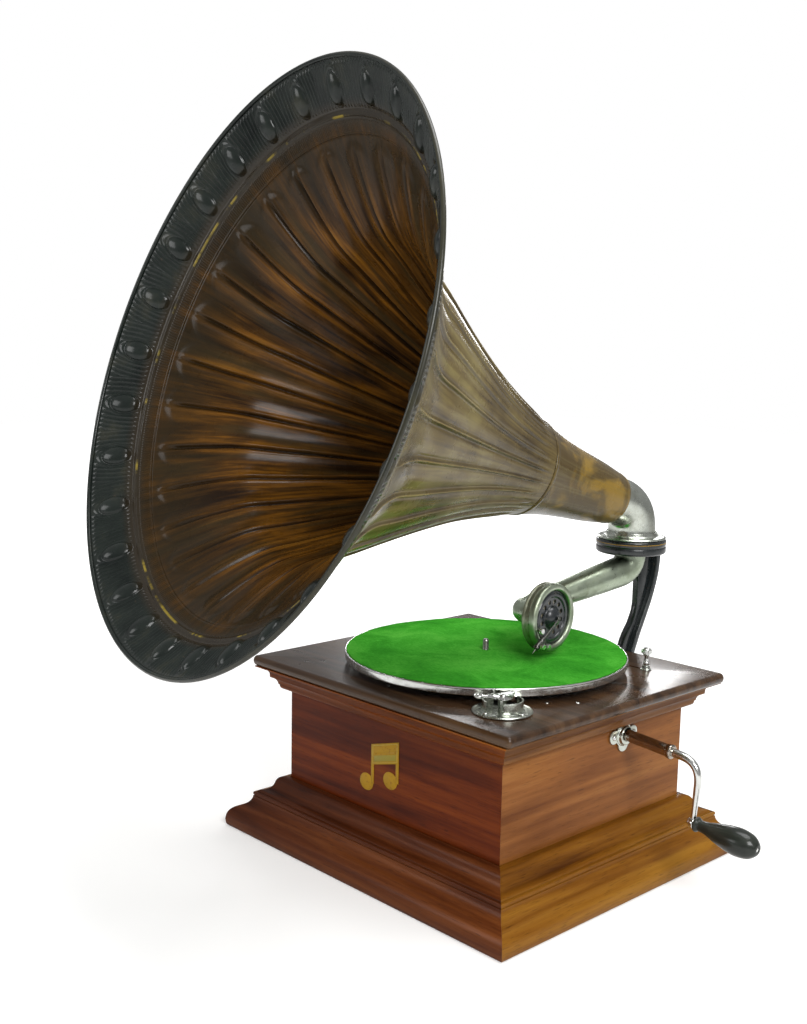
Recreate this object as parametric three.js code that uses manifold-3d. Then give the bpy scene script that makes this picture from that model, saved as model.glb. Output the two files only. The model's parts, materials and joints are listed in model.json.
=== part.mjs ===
// Wind-up horn phonograph: wooden cabinet, turntable, swinging tonearm with soundbox,
// fluted horn on a cast bracket, removable crank and the spring motor under the top board.
// Millimetres, +Z up. Origin: centre of the cabinet's underside. +X is the crank side, -Y the front.

import * as THREE from 'three';
import { mergeVertices } from 'three/addons/utils/BufferGeometryUtils.js';
import Module from 'manifold-3d';

const wasm = await Module();
wasm.setup();

// ---------------------------------------------------------------- driving dimensions

const GAP = 0.3; // clearance between neighbouring pieces

// Cabinet
const BODY_HALF_X = 156.5;
const BODY_HALF_Y = 143;
const PANEL = 14;
const BASE_THICKNESS = 10;
const BASE_REACH = 27; // how far the base board runs out under the hollow plinth
const PLINTH_TOP = 58.3;
const PLINTH_REACH = 52.5;
const CORNICE_BOTTOM = 158.8;
const BOARD_BOTTOM = 184.4;
const BOARD_TOP = 195.4;
const BOARD_HALF_X = 190;
const BOARD_HALF_Y = 173;
const BOARD_ROUND = 4;

// Turntable
const TURNTABLE_RADIUS = 152.4;
const TURNTABLE_BOTTOM = 203;
const TURNTABLE_TOP = 210.6;
const FELT_RADIUS = 150.6;
const FELT_TOP = 212.4;
const SPINDLE_RADIUS = 3.3;
const SPINDLE_TOP = 224;

// Horn, bracket and tonearm share one vertical swivel line
const SWIVEL = { x: 49, y: 187 };
const RING_BOTTOM = 307;
const RING_TOP = 323;
const RING_RADIUS = 39.5;
const HORN_AZIMUTH = 8.5; // degrees to the left of straight ahead
const HORN_RISE = 17.6; // degrees above level
const HORN_APEX_Z = 359.5; // where the horn's centre line crosses the swivel line
const HORN_START = 3; // the horn's station 0, ahead of that crossing
const HORN_LENGTH = 530.7;
const HORN_SEAM = 173; // bell and neck meet here
const HORN_NECK_START = 33;
const HORN_WALL = 1.2;
const RIM_BEAD = 2.6;
const ELBOW_RADIUS = 26.5;
const TONEARM_RADIUS = 17.3;
const TONEARM_END_RADIUS = 12.4;

// Soundbox
const SOUNDBOX = { x: 67, y: 31, z: 254.5, turn: 3.7 };
const SOUNDBOX_RADIUS = 36.6;
const BAR_ANGLE = 34; // stylus bar, degrees below level at rest

// Crank: the loose crank hangs a little below level in its socket
const CRANK = { x: BODY_HALF_X, y: 38.7, z: 149, droop: 4.3 };
const CRANK_SLEEVE = 62;
const CRANK_REACH = 93.5;
const CRANK_THROW = 62;

// Brake and speed regulator on the deck
const BRAKE = { x: 130, y: -116 };
const BRAKE_PAD_ARM = 21.5;
const REGULATOR = { x: 126, y: 118 };

// Motor
const MOTOR_PLATE_BOTTOM = 180;
const MOTOR_LOWER = [96, 100];
const BARREL = { x: 60, y: 38.7 };
const IDLER = { x: 7.2, y: 37.5 };
const WHEEL_MODULE = 2;
const WHEEL_TEETH = 30;
const SPINDLE_TEETH = 8;
const BARREL_MODULE = 1.875;
const BARREL_TEETH = 48;
const IDLER_TEETH = 8;
const WORM_RADIUS = 4.5;
const GOVERNOR = { y: IDLER.y + 35.3, z: 159 };

// ---------------------------------------------------------------- materials

const finish = (color, roughness, metalness) => ({ color, roughness, metalness });
const MAHOGANY = finish(0x6e2c14, 0.35, 0);
const DARK_MAHOGANY = finish(0x3a1f14, 0.25, 0);
const PINE = finish(0xa98455, 0.8, 0);
const NICKEL = finish(0xb9bcae, 0.25, 1);
const STEEL = finish(0x8a8d90, 0.35, 1);
const BRASS = finish(0xb08a3e, 0.35, 1);
const BLACK_IRON = finish(0x14181a, 0.35, 0.4);
const GREY_IRON = finish(0x4a4d4e, 0.6, 0.6);
const HORN_PAINT = finish(0x7a4a1c, 0.4, 0.2);
const BAIZE = finish(0x2f9a2a, 0.95, 0);
const BLACK_ENAMEL = finish(0x15191c, 0.2, 0.1);
const EBONISED = finish(0x20241f, 0.35, 0);
const MICA = finish(0xcfc9b0, 0.2, 0);
const RUBBER = finish(0x3b332c, 0.9, 0);
const LEATHER = finish(0x5a3a22, 0.85, 0);
const GILT = finish(0xc08a2c, 0.4, 0.6);

// ---------------------------------------------------------------- geometry helpers

const radians = THREE.MathUtils.degToRad;
const group = new THREE.Group();

function add(name, geometry, look, parent = group) {
  const mesh = new THREE.Mesh(geometry, new THREE.MeshStandardMaterial(look));
  mesh.name = name;
  parent.add(mesh);
  return mesh;
}

// A closed mesh as a manifold solid. Triangles that collapse on merging are dropped.
function solid(geometry) {
  const bare = geometry.clone();
  bare.deleteAttribute('normal');
  bare.deleteAttribute('uv');
  const merged = mergeVertices(bare, 1e-4);
  const index = merged.index.array;
  const triangles = [];
  for (let i = 0; i < index.length; i += 3) {
    const [a, b, c] = [index[i], index[i + 1], index[i + 2]];
    if (a !== b && b !== c && c !== a) triangles.push(a, b, c);
  }
  return new wasm.Manifold(new wasm.Mesh({
    numProp: 3,
    vertProperties: new Float32Array(merged.attributes.position.array),
    triVerts: new Uint32Array(triangles),
  }));
}

function geometryOf(manifold) {
  const mesh = manifold.getMesh();
  const geometry = new THREE.BufferGeometry();
  geometry.setAttribute('position', new THREE.BufferAttribute(mesh.vertProperties, 3));
  geometry.setIndex(new THREE.BufferAttribute(mesh.triVerts, 1));
  return geometry;
}

function join(first, ...others) {
  return geometryOf(others.reduce((sum, part) => sum.add(solid(part)), solid(first)));
}

function cut(first, ...tools) {
  return geometryOf(tools.reduce((rest, tool) => rest.subtract(solid(tool)), solid(first)));
}

function box([x0, x1], [y0, y1], [z0, z1]) {
  const geometry = new THREE.BoxGeometry(x1 - x0, y1 - y0, z1 - z0);
  return geometry.translate((x0 + x1) / 2, (y0 + y1) / 2, (z0 + z1) / 2);
}

// A turned piece about +Z from [radius, height] pairs listed up its outside.
// The profile starts and ends on the axis, or closes on itself round a bore.
function turned(profile, sides = 24) {
  const points = profile.map(([r, z]) => new THREE.Vector2(r, z));
  const bored = profile[0][0] > 0;
  if (bored) points.push(points[0].clone());
  return new THREE.LatheGeometry(points, sides).rotateX(Math.PI / 2);
}

// The same piece with its axis along +X instead.
const turnedAlongX = (profile, sides) => turned(profile, sides).rotateY(Math.PI / 2);

function disc(radius, [z0, z1], sides = 24, x = 0, y = 0) {
  return turned([[0, z0], [radius, z0], [radius, z1], [0, z1]], sides).translate(x, y, 0);
}

function washer(inner, outer, [z0, z1], sides = 24, x = 0, y = 0) {
  return turned([[inner, z0], [outer, z0], [outer, z1], [inner, z1]], sides).translate(x, y, 0);
}

function discAlongX(radius, [x0, x1], sides = 24, y = 0, z = 0) {
  return turnedAlongX([[0, x0], [radius, x0], [radius, x1], [0, x1]], sides).translate(0, y, z);
}

function plate(shape, [z0, z1], curveSegments = 8) {
  const options = { depth: z1 - z0, bevelEnabled: false, curveSegments };
  return new THREE.ExtrudeGeometry(shape, options).translate(0, 0, z0);
}

function shapeFrom(points) {
  return new THREE.Shape(points.map(([x, y]) => new THREE.Vector2(x, y)));
}

function roundedRectangle([x0, x1], [y0, y1], r) {
  const shape = new THREE.Shape();
  shape.moveTo(x0 + r, y0);
  shape.absarc(x1 - r, y0 + r, r, -Math.PI / 2, 0);
  shape.absarc(x1 - r, y1 - r, r, 0, Math.PI / 2);
  shape.absarc(x0 + r, y1 - r, r, Math.PI / 2, Math.PI);
  shape.absarc(x0 + r, y0 + r, r, Math.PI, 1.5 * Math.PI);
  return shape;
}

function screw(headRadius, headHeight, shankRadius, shankLength) {
  const body = turned([
    [0, -shankLength], [shankRadius, -shankLength], [shankRadius, 0],
    [headRadius, 0], [headRadius, headHeight * 0.5], [headRadius * 0.7, headHeight], [0, headHeight],
  ], 8);
  const slot = box([-headRadius, headRadius], [-0.4, 0.4], [headHeight * 0.55, headHeight + 1]);
  return cut(body, slot);
}

// A straight run of points with its corners rounded off, as one curve.
function bentPath(corners, reaches) {
  const path = new THREE.CurvePath();
  let from = corners[0];
  for (let i = 1; i < corners.length - 1; i += 1) {
    const corner = corners[i];
    const back = corner.clone().lerp(corners[i - 1], reaches[i - 1] / corner.distanceTo(corners[i - 1]));
    const on = corner.clone().lerp(corners[i + 1], reaches[i - 1] / corner.distanceTo(corners[i + 1]));
    path.add(new THREE.LineCurve3(from, back));
    path.add(new THREE.QuadraticBezierCurve3(back, corner, on));
    from = on;
  }
  path.add(new THREE.LineCurve3(from, corners.at(-1)));
  return path;
}

// A round bar along a curve whose radius changes with the distance along it (0 to 1).
function taperedBar(curve, radiusAt, steps, sides) {
  const points = curve.getSpacedPoints(steps);
  const positions = [];
  const index = [];
  let normal = new THREE.Vector3();
  points.forEach((point, i) => {
    const before = points[Math.max(i - 1, 0)];
    const after = points[Math.min(i + 1, steps)];
    const tangent = after.clone().sub(before).normalize();
    if (i === 0) {
      const across = Math.abs(tangent.x) < 0.9 ? new THREE.Vector3(1, 0, 0) : new THREE.Vector3(0, 1, 0);
      normal.crossVectors(tangent, across).normalize();
    }
    normal.addScaledVector(tangent, -normal.dot(tangent)).normalize();
    const binormal = new THREE.Vector3().crossVectors(tangent, normal);
    const radius = radiusAt(i / steps);
    for (let j = 0; j < sides; j += 1) {
      const angle = (2 * Math.PI * j) / sides;
      const spot = point.clone();
      spot.addScaledVector(normal, radius * Math.cos(angle));
      spot.addScaledVector(binormal, radius * Math.sin(angle));
      positions.push(spot.x, spot.y, spot.z);
    }
  });
  for (let i = 0; i < steps; i += 1) {
    for (let j = 0; j < sides; j += 1) {
      const a = i * sides + j;
      const b = i * sides + ((j + 1) % sides);
      index.push(a, b, b + sides, a, b + sides, a + sides);
    }
  }
  for (let j = 1; j < sides - 1; j += 1) {
    const last = steps * sides;
    index.push(0, j + 1, j, last, last + j, last + j + 1);
  }
  const geometry = new THREE.BufferGeometry();
  geometry.setAttribute('position', new THREE.Float32BufferAttribute(positions, 3));
  geometry.setIndex(index);
  return geometry;
}

// A spur gear outline with straight-sided teeth, thin enough to run free in mesh.
// One tooth points along the angle toothAt.
function gearShape(teeth, module_, toothAt) {
  const pitch = (teeth * module_) / 2;
  const tip = pitch + 0.75 * module_;
  const root = pitch - 1.1 * module_;
  const step = (2 * Math.PI) / teeth;
  const points = [];
  for (let i = 0; i < teeth; i += 1) {
    const middle = toothAt + i * step;
    for (const [radius, offset] of [[root, -0.25], [tip, -0.1], [tip, 0.1], [root, 0.25]]) {
      const angle = middle + offset * step;
      points.push([radius * Math.cos(angle), radius * Math.sin(angle)]);
    }
  }
  return shapeFrom(points);
}

const directionTo = (from, to) => Math.atan2(to.y - from.y, to.x - from.x);

// ---------------------------------------------------------------- cabinet

// A moulding along one side of the cabinet, mitred at both ends. The profile is [reach, height],
// with reach measured outwards from the body's face.
function mitredRail(shape, halfLength) {
  const geometry = new THREE.ExtrudeGeometry(shape, { depth: 1, bevelEnabled: false, curveSegments: 3 });
  const position = geometry.attributes.position;
  for (let i = 0; i < position.count; i += 1) {
    const reach = position.getX(i);
    const height = position.getY(i);
    const side = 1 - 2 * position.getZ(i);
    position.setXYZ(i, side * (halfLength + reach - GAP), -reach, height);
  }
  return geometry;
}

function addRails(name, shape, look) {
  const sides = [
    ['front', BODY_HALF_X, BODY_HALF_Y, 0],
    ['right', BODY_HALF_Y, BODY_HALF_X, 90],
    ['back', BODY_HALF_X, BODY_HALF_Y, 180],
    ['left', BODY_HALF_Y, BODY_HALF_X, 270],
  ];
  for (const [side, halfLength, distance, turn] of sides) {
    const rail = mitredRail(shape, halfLength).translate(0, -distance, 0).rotateZ(radians(turn));
    const notched = name === 'cornice' && side === 'right';
    add(`${name}_${side}`, notched ? cut(rail, escutcheonNotch()) : rail, look);
  }
}

// Plinth: a small ogee under the body, a fillet step, a wide cove and a heavy rounded foot.
function plinthShape() {
  const shape = new THREE.Shape();
  shape.moveTo(GAP, PLINTH_TOP);
  shape.lineTo(6, PLINTH_TOP);
  shape.bezierCurveTo(13, PLINTH_TOP, 11, 43, 20, 42.5);
  shape.quadraticCurveTo(26, 42, 28.5, 38.5);
  shape.lineTo(29.5, 38.5);
  shape.lineTo(30, 31);
  shape.quadraticCurveTo(33, 25.5, 41, 23);
  shape.quadraticCurveTo(PLINTH_REACH, 19, PLINTH_REACH, 7);
  shape.lineTo(PLINTH_REACH - 1.5, 0);
  shape.lineTo(BASE_REACH + GAP, 0);
  shape.lineTo(BASE_REACH + GAP, 16);
  shape.lineTo(GAP, 36);
  return shape;
}

// Cornice: a bead against the body, a fillet, a cove, a second fillet and a cove up to the board.
function corniceShape() {
  const shape = new THREE.Shape();
  const top = BOARD_BOTTOM - GAP;
  shape.moveTo(GAP, top);
  shape.lineTo(GAP, CORNICE_BOTTOM);
  shape.lineTo(6, CORNICE_BOTTOM);
  shape.quadraticCurveTo(9.5, CORNICE_BOTTOM, 9.5, 163.5);
  shape.lineTo(10.5, 164.2);
  shape.quadraticCurveTo(11.5, 170.5, 17, 171.5);
  shape.lineTo(17.5, 176.5);
  shape.quadraticCurveTo(20, 182.5, 29, 183);
  shape.lineTo(29, top);
  return shape;
}

// The top lobe of the crank's escutcheon tucks into a shallow notch under the cornice.
function escutcheonNotch() {
  return box([BODY_HALF_X, BODY_HALF_X + 3], [CRANK.y - 11, CRANK.y + 11], [CORNICE_BOTTOM - 1, 166]);
}

function crankHole() {
  return discAlongX(8.2, [-30, 30], 20, CRANK.y, CRANK.z).translate(CRANK.x, 0, 0);
}

function addPanels() {
  const z = [BASE_THICKNESS + GAP, BOARD_BOTTOM - GAP];
  const x = BODY_HALF_X;
  const y = BODY_HALF_Y;
  const innerX = [-(x - PANEL - GAP), x - PANEL - GAP];
  add('front_panel', box(innerX, [-y, -(y - PANEL)], z), MAHOGANY);
  const boltHoles = [-1, 1].map((side) => bracketBoltPlace(disc(2.5, [-20, 6], 10), side));
  add('back_panel', cut(box(innerX, [y - PANEL, y], z), ...boltHoles), MAHOGANY);
  add('left_panel', box([-x, -(x - PANEL)], [-y, y], z), MAHOGANY);
  const screwHoles = [-1, 1].map((side) => escutcheonScrewPlace(disc(1.5, [-12, 4], 8), side));
  add('right_panel', cut(box([x - PANEL, x], [-y, y], z), crankHole(), ...screwHoles), MAHOGANY);
  const baseX = x + BASE_REACH;
  const baseY = y + BASE_REACH;
  add('base_board', box([-baseX, baseX], [-baseY, baseY], [0, BASE_THICKNESS]), PINE);
}

function addTopBoard() {
  const inset = BOARD_ROUND;
  const halfX = BOARD_HALF_X - inset;
  const halfY = BOARD_HALF_Y - inset;
  const outline = roundedRectangle([-halfX, halfX], [-halfY, halfY], 2);
  const board = new THREE.ExtrudeGeometry(outline, {
    depth: BOARD_TOP - BOARD_BOTTOM - 2 * inset,
    bevelSize: inset,
    bevelThickness: inset,
    bevelSegments: 2,
    curveSegments: 1,
  }).translate(0, 0, BOARD_BOTTOM + inset);
  const through = [BOARD_BOTTOM - 1, BOARD_TOP + 1];
  const slot = plate(roundedRectangle([-9, 9], [-1.8, 1.8], 1.7), through, 1);
  const brakeHoles = BRAKE_SCREWS.map(([x, y]) => disc(1.6, [BOARD_TOP - 9, BOARD_TOP + 1], 8, x, y));
  add('top_board', cut(
    board,
    disc(6, through, 14, 0, 0),
    disc(2.6, through, 10, REGULATOR.x, REGULATOR.y),
    slot.translate(REGULATOR.x - 13, REGULATOR.y, 0),
    ...brakeHoles,
  ), DARK_MAHOGANY);
}

// Gilt ornament on the front: two notes under one broad beam that rises to the right.
function addOrnament() {
  const depth = [0, 0.5];
  const head = (x, y) => {
    const oval = new THREE.Shape().absellipse(x, y, 10.2, 9.1, 0, 2 * Math.PI, false, 0);
    return plate(oval, depth, 8);
  };
  const stem = (x, y) => box([x - 2.1, x + 2.1], [y, y + 30], depth);
  const beam = plate(shapeFrom([[18.3, 32], [59.5, 43.5], [59.5, 66], [18.3, 54]]), depth);
  const note = join(head(11.5, 12.1), stem(20.4, 12), beam, head(47.2, 22.4), stem(57.4, 22));
  add('front_ornament', note.rotateX(Math.PI / 2).translate(-42, -BODY_HALF_Y - GAP, 76), GILT);
}

// ---------------------------------------------------------------- turntable

function addTurntable() {
  const rim = TURNTABLE_RADIUS;
  add('turntable', turned([
    [SPINDLE_RADIUS + 0.3, 200], [14, 200], [14, TURNTABLE_TOP - 2], [rim - 2, TURNTABLE_TOP - 2],
    [rim - 2, TURNTABLE_BOTTOM], [rim, TURNTABLE_BOTTOM], [rim, TURNTABLE_TOP],
    [rim - 0.6, TURNTABLE_TOP + 0.9], [rim - 1.3, TURNTABLE_TOP], [SPINDLE_RADIUS + 0.3, TURNTABLE_TOP],
  ], 40), NICKEL);
  add('felt_mat', washer(SPINDLE_RADIUS + 0.9, FELT_RADIUS, [TURNTABLE_TOP + GAP, FELT_TOP], 40), BAIZE);
  const towardIdler = directionTo({ x: 0, y: 0 }, IDLER);
  const halfPitch = Math.PI / SPINDLE_TEETH;
  const pinion = plate(gearShape(SPINDLE_TEETH, WHEEL_MODULE, towardIdler + halfPitch), [154, 164]);
  const shaft = turned([
    [0, 98], [2.5, 98], [2.5, 101], [4, 102], [4, 198], [SPINDLE_RADIUS, 199],
    [SPINDLE_RADIUS, SPINDLE_TOP - 2], [2, SPINDLE_TOP], [0, SPINDLE_TOP],
  ], 12);
  add('spindle', join(shaft, pinion), STEEL);
}

// ---------------------------------------------------------------- horn and bracket

// Outer radius of the horn against the distance along it from the elbow.
const HORN_CURVE = new THREE.SplineCurve([
  [0, 22.5], [60, 33.7], [150, 47.3], [260, 82.7], [380, 143], [440, 182], [HORN_LENGTH, 289.5],
].map(([s, r]) => new THREE.Vector2(s, r)));

// One shell of the horn between two stations, as a closed profile round the horn's axis.
function hornShell(from, to, steps, bead) {
  const outer = [];
  for (let i = 0; i <= 400; i += 1) {
    const spot = HORN_CURVE.getPoint(i / 400);
    outer.push([spot.y, spot.x]);
  }
  const radiusAt = (s) => {
    const after = outer.findIndex(([, z]) => z >= s);
    if (after <= 0) return outer.at(after)[0];
    const [[r0, z0], [r1, z1]] = [outer[after - 1], outer[after]];
    return r0 + ((r1 - r0) * (s - z0)) / (z1 - z0);
  };
  const profile = [];
  for (let i = 0; i <= steps; i += 1) {
    const s = from + ((to - from) * i) / steps;
    profile.push([radiusAt(s), s]);
  }
  if (bead) {
    const [r, s] = profile.at(-1);
    for (const angle of [-60, 0, 60, 120]) {
      profile.push([r + bead * Math.cos(radians(angle)), s + bead * (0.6 + Math.sin(radians(angle)))]);
    }
  }
  for (let i = steps; i >= 0; i -= 1) {
    const s = from + ((to - from) * i) / steps;
    profile.push([radiusAt(s) - HORN_WALL, s + (bead && i === steps ? 0.5 : 0)]);
  }
  return turned(profile, 32);
}

// The horn's frame: +Z runs from the elbow out through the mouth.
function hornFrame() {
  const frame = new THREE.Group();
  frame.position.copy(hornApex().addScaledVector(hornDirection(), HORN_START));
  frame.rotation.order = 'ZYX';
  frame.rotation.set(radians(90 - HORN_RISE), 0, radians(-HORN_AZIMUTH));
  group.add(frame);
  return frame;
}

const hornApex = () => new THREE.Vector3(SWIVEL.x, SWIVEL.y, HORN_APEX_Z);

function hornDirection() {
  const level = Math.cos(radians(HORN_RISE));
  const turn = radians(HORN_AZIMUTH);
  return new THREE.Vector3(-level * Math.sin(turn), -level * Math.cos(turn), Math.sin(radians(HORN_RISE)));
}

// From the collar up and round to the neck, run on past both ends by extra.
function elbowPath(extra) {
  const foot = new THREE.Vector3(SWIVEL.x, SWIVEL.y, RING_TOP + 3.6 - extra);
  const end = hornApex().addScaledVector(hornDirection(), HORN_NECK_START + 12 + extra);
  return bentPath([foot, hornApex(), end], [26]);
}

function addHorn() {
  const frame = hornFrame();
  add('horn_neck', hornShell(HORN_NECK_START, HORN_SEAM - GAP, 3, 0), HORN_PAINT, frame);
  add('horn_bell', hornShell(HORN_SEAM, HORN_LENGTH - RIM_BEAD, 7, RIM_BEAD), HORN_PAINT, frame);
  const outside = taperedBar(elbowPath(0), () => ELBOW_RADIUS, 7, 14);
  const inside = taperedBar(elbowPath(5), () => ELBOW_RADIUS - 1.5, 7, 14);
  add('horn_elbow', cut(outside, inside), NICKEL);
  const collar = turned([
    [ELBOW_RADIUS - 3, RING_TOP + GAP], [RING_RADIUS - 1.5, RING_TOP + GAP],
    [RING_RADIUS - 0.5, RING_TOP + 1.6], [RING_RADIUS - 2.5, RING_TOP + 3],
    [ELBOW_RADIUS + 3.5, RING_TOP + 3.6], [ELBOW_RADIUS + 2, RING_TOP + 8],
    [ELBOW_RADIUS + 0.4, RING_TOP + 8], [ELBOW_RADIUS + 0.4, RING_TOP + 3], [ELBOW_RADIUS - 3, RING_TOP + 3],
  ], 24).translate(SWIVEL.x, SWIVEL.y, 0);
  add('horn_collar', collar, NICKEL);
}

// Foot plate bolts, one above the other on the back panel.
function bracketBoltPlace(geometry, side) {
  return geometry.rotateX(-Math.PI / 2).translate(SWIVEL.x, BODY_HALF_Y + 6.6, 105 + side * 24);
}

// Side view of the bracket's web as [y, z]: inner edge up, outer edge down.
function bracketWeb() {
  const shape = new THREE.Shape();
  shape.moveTo(143.4, 76);
  shape.lineTo(143.4, 146);
  shape.quadraticCurveTo(158, 156, 165, 172);
  shape.quadraticCurveTo(174.4, 180, 174.6, 197);
  shape.quadraticCurveTo(180, 208, 191, 218);
  shape.quadraticCurveTo(204, 230, 203.5, 250);
  shape.lineTo(202, RING_BOTTOM + 1);
  shape.lineTo(230, RING_BOTTOM + 1);
  shape.quadraticCurveTo(224, 265, 205, 228);
  shape.quadraticCurveTo(190, 200, 178, 172);
  shape.quadraticCurveTo(168, 148, 150, 130);
  shape.lineTo(149, 76);
  return shape;
}

function bracketFlange() {
  const spine = new THREE.CatmullRomCurve3([
    [152, 112], [166, 141], [181, 176], [194, 206], [206, 229], [218, 253], [227, 279],
    [230, RING_BOTTOM + 4],
  ].map(([y, z]) => new THREE.Vector3(SWIVEL.x, y, z)));
  const section = roundedRectangle([-3.5, 3.5], [-10, 10], 2.5);
  const options = { steps: 10, bevelEnabled: false, extrudePath: spine, curveSegments: 1 };
  return new THREE.ExtrudeGeometry(section, options);
}

function addBracket() {
  const web = plate(bracketWeb(), [-4, 4], 4);
  web.rotateY(Math.PI / 2).rotateX(Math.PI / 2).translate(SWIVEL.x, 0, 0);
  const ring = turned([
    [0, RING_BOTTOM], [RING_RADIUS - 1.5, RING_BOTTOM], [RING_RADIUS, RING_BOTTOM + 1.5],
    [RING_RADIUS, RING_TOP - 1.5], [RING_RADIUS - 1.5, RING_TOP], [0, RING_TOP],
  ], 20);
  const bore = disc(TONEARM_RADIUS + 0.7, [RING_BOTTOM - 40, RING_TOP + 1], 18);
  const seat = disc(23.8, [RING_TOP - 7, RING_TOP + 1], 18);
  const foot = plate(roundedRectangle([-20, 20], [70, 142], 8), [0, 6]);
  foot.rotateX(Math.PI / 2).translate(SWIVEL.x, BODY_HALF_Y + GAP + 6, 0);
  const bolts = [-1, 1].map((side) => bracketBoltPlace(disc(2.5, [-20, 30], 10), side));
  const casting = join(web, bracketFlange(), ring.translate(SWIVEL.x, SWIVEL.y, 0), foot);
  const bores = [bore, seat].map((tool) => tool.translate(SWIVEL.x, SWIVEL.y, 0));
  const heads = [-1, 1].map((side) => bracketBoltPlace(disc(5.4, [0, 40], 12), side));
  add('horn_bracket', cut(casting, ...bores, ...bolts, ...heads), BLACK_IRON);
  for (const [number, side] of [[1, -1], [2, 1]]) {
    add(`bracket_bolt_${number}`, bracketBoltPlace(screw(4.4, 2.6, 2.1, 16), side), BLACK_IRON);
  }
}

// ---------------------------------------------------------------- tonearm and soundbox

// The soundbox frame: +X runs out through its face, +Z up.
function soundboxFrame() {
  const frame = new THREE.Group();
  frame.position.set(SOUNDBOX.x, SOUNDBOX.y, SOUNDBOX.z);
  frame.rotation.z = radians(SOUNDBOX.turn);
  group.add(frame);
  return frame;
}

function alongSoundbox(distance) {
  const turn = radians(SOUNDBOX.turn);
  return new THREE.Vector3(
    SOUNDBOX.x + distance * Math.cos(turn),
    SOUNDBOX.y + distance * Math.sin(turn),
    SOUNDBOX.z,
  );
}

function tonearmPath(extra) {
  return bentPath([
    new THREE.Vector3(SWIVEL.x, SWIVEL.y, RING_TOP - 4 + extra),
    new THREE.Vector3(SWIVEL.x, SWIVEL.y, RING_BOTTOM - 19),
    alongSoundbox(-47.4),
    alongSoundbox(-25 + extra),
  ], [19, 16]);
}

function addTonearm() {
  const taper = (t) => THREE.MathUtils.smoothstep(t, 0.2, 0.85);
  const radiusAt = (t) => THREE.MathUtils.lerp(TONEARM_RADIUS, TONEARM_END_RADIUS, taper(t));
  const outside = taperedBar(tonearmPath(0), radiusAt, 13, 12);
  const inside = taperedBar(tonearmPath(3), (t) => radiusAt(t) - 1.8, 13, 12);
  const flange = disc(22.8, [RING_TOP - 6.7, RING_TOP - 4], 20, SWIVEL.x, SWIVEL.y);
  add('tonearm', cut(join(outside, flange), inside), NICKEL);
}

function addSoundbox() {
  const frame = soundboxFrame();
  const r = SOUNDBOX_RADIUS;
  const bore = TONEARM_END_RADIUS + 0.7;
  add('soundbox_back', turnedAlongX([
    [bore, -29.5], [15.6, -29.5], [16, -25], [22, -19], [32, -15.4],
    [r - 1.2, -15], [r - 0.2, -13.2], [r - 1.2, -11.2], [r - 3, -10.8], [r - 3, -6.3],
    [31, -6.3], [31, -12.5], [9, -13.5], [9, -23], [bore, -23],
  ], 18), NICKEL, frame);
  add('diaphragm', discAlongX(30.6, [-5.9, -5.5], 16), MICA, frame);
  const gasket = turnedAlongX([[27.6, -5.2], [31.2, -5.2], [31.2, -3.9], [27.6, -3.9]], 16);
  add('diaphragm_gasket', gasket, RUBBER, frame);
  add('soundbox_bezel', turnedAlongX([
    [32, -6], [r - 1, -6], [r, -4.6], [r, -0.4], [r - 1.4, 1.4], [r - 4, 2], [30.2, 1.2],
    [29, -0.4], [29, -3.6], [32, -3.6],
  ], 20), NICKEL, frame);
  add('soundbox_grille', grille(), BLACK_ENAMEL, frame);
  addStylus(frame);
}

// Black face plate: a domed centre inside a ring of twelve sound holes.
function grille() {
  const face = turnedAlongX([
    [0, -3.3], [28.6, -3.3], [28.6, -1.2], [27, -0.4], [22.4, -1.4], [12, -1.8],
    [10.8, 0.4], [8.2, 3.2], [4, 4.9], [0, 5.3],
  ], 18);
  const holes = [];
  for (let i = 0; i < 12; i += 1) {
    const angle = radians(15 + 30 * i);
    holes.push(discAlongX(2, [-6, 4], 6, 17.2 * Math.cos(angle), 17.2 * Math.sin(angle)));
  }
  return cut(face, ...holes);
}

// Everything on the stylus bar lies in a frame whose -Z points from the centre to the needle.
function addStylus(soundbox) {
  const frame = new THREE.Group();
  frame.rotation.x = -radians(90 - BAR_ANGLE);
  soundbox.add(frame);
  const bar = taperedBar(
    new THREE.LineCurve3(new THREE.Vector3(7.4, 0, 1), new THREE.Vector3(7.4, 0, -34)),
    (t) => 0.8 + 0.8 * t, 4, 10,
  );
  const cross = box([5.2, 6.6], [-14, 14], [-33.4, -28.6]);
  const crossHoles = [-1, 1].map((side) => discAlongX(1.6, [0, 9], 8, 11 * side, -31));
  const chuck = turned([[0, -47], [2.6, -47], [3.4, -45], [3.4, -36], [2.4, -31], [0, -31]], 12);
  const foot = discAlongX(2.4, [6.2, 8.4], 10);
  const needleBore = disc(0.9, [-48, -38], 8, 7.2, 0);
  const screwBore = discAlongX(1.3, [7.2, 14], 8, 0, -42);
  const holder = join(bar, cut(cross, ...crossHoles), chuck.translate(7.2, 0, 0), foot);
  add('stylus_bar', cut(holder, needleBore, screwBore), NICKEL, frame);
  const needle = turned([[0, -53.5], [0.25, -52], [0.65, -48], [0.65, -38.3], [0, -38.3]], 8);
  add('needle', needle.translate(7.2, 0, 0), STEEL, frame);
  const clamp = turnedAlongX([
    [0, 8.3], [1, 8.3], [1, 11], [2.9, 11.3], [2.9, 14.6], [2.2, 15.2], [0, 15.2],
  ], 14).translate(0, 0, -42);
  add('needle_screw', clamp, NICKEL, frame);
  for (const [number, side] of [[1, -1], [2, 1]]) {
    const post = turnedAlongX([
      [0, 2.3], [1.2, 2.3], [1.2, 6.9], [3, 7.2], [3, 10.4], [2.2, 11], [0, 11],
    ], 14).translate(0, 11 * side, -31);
    add(`spring_screw_${number}`, post, NICKEL, frame);
  }
}

// ---------------------------------------------------------------- brake and speed regulator

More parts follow.
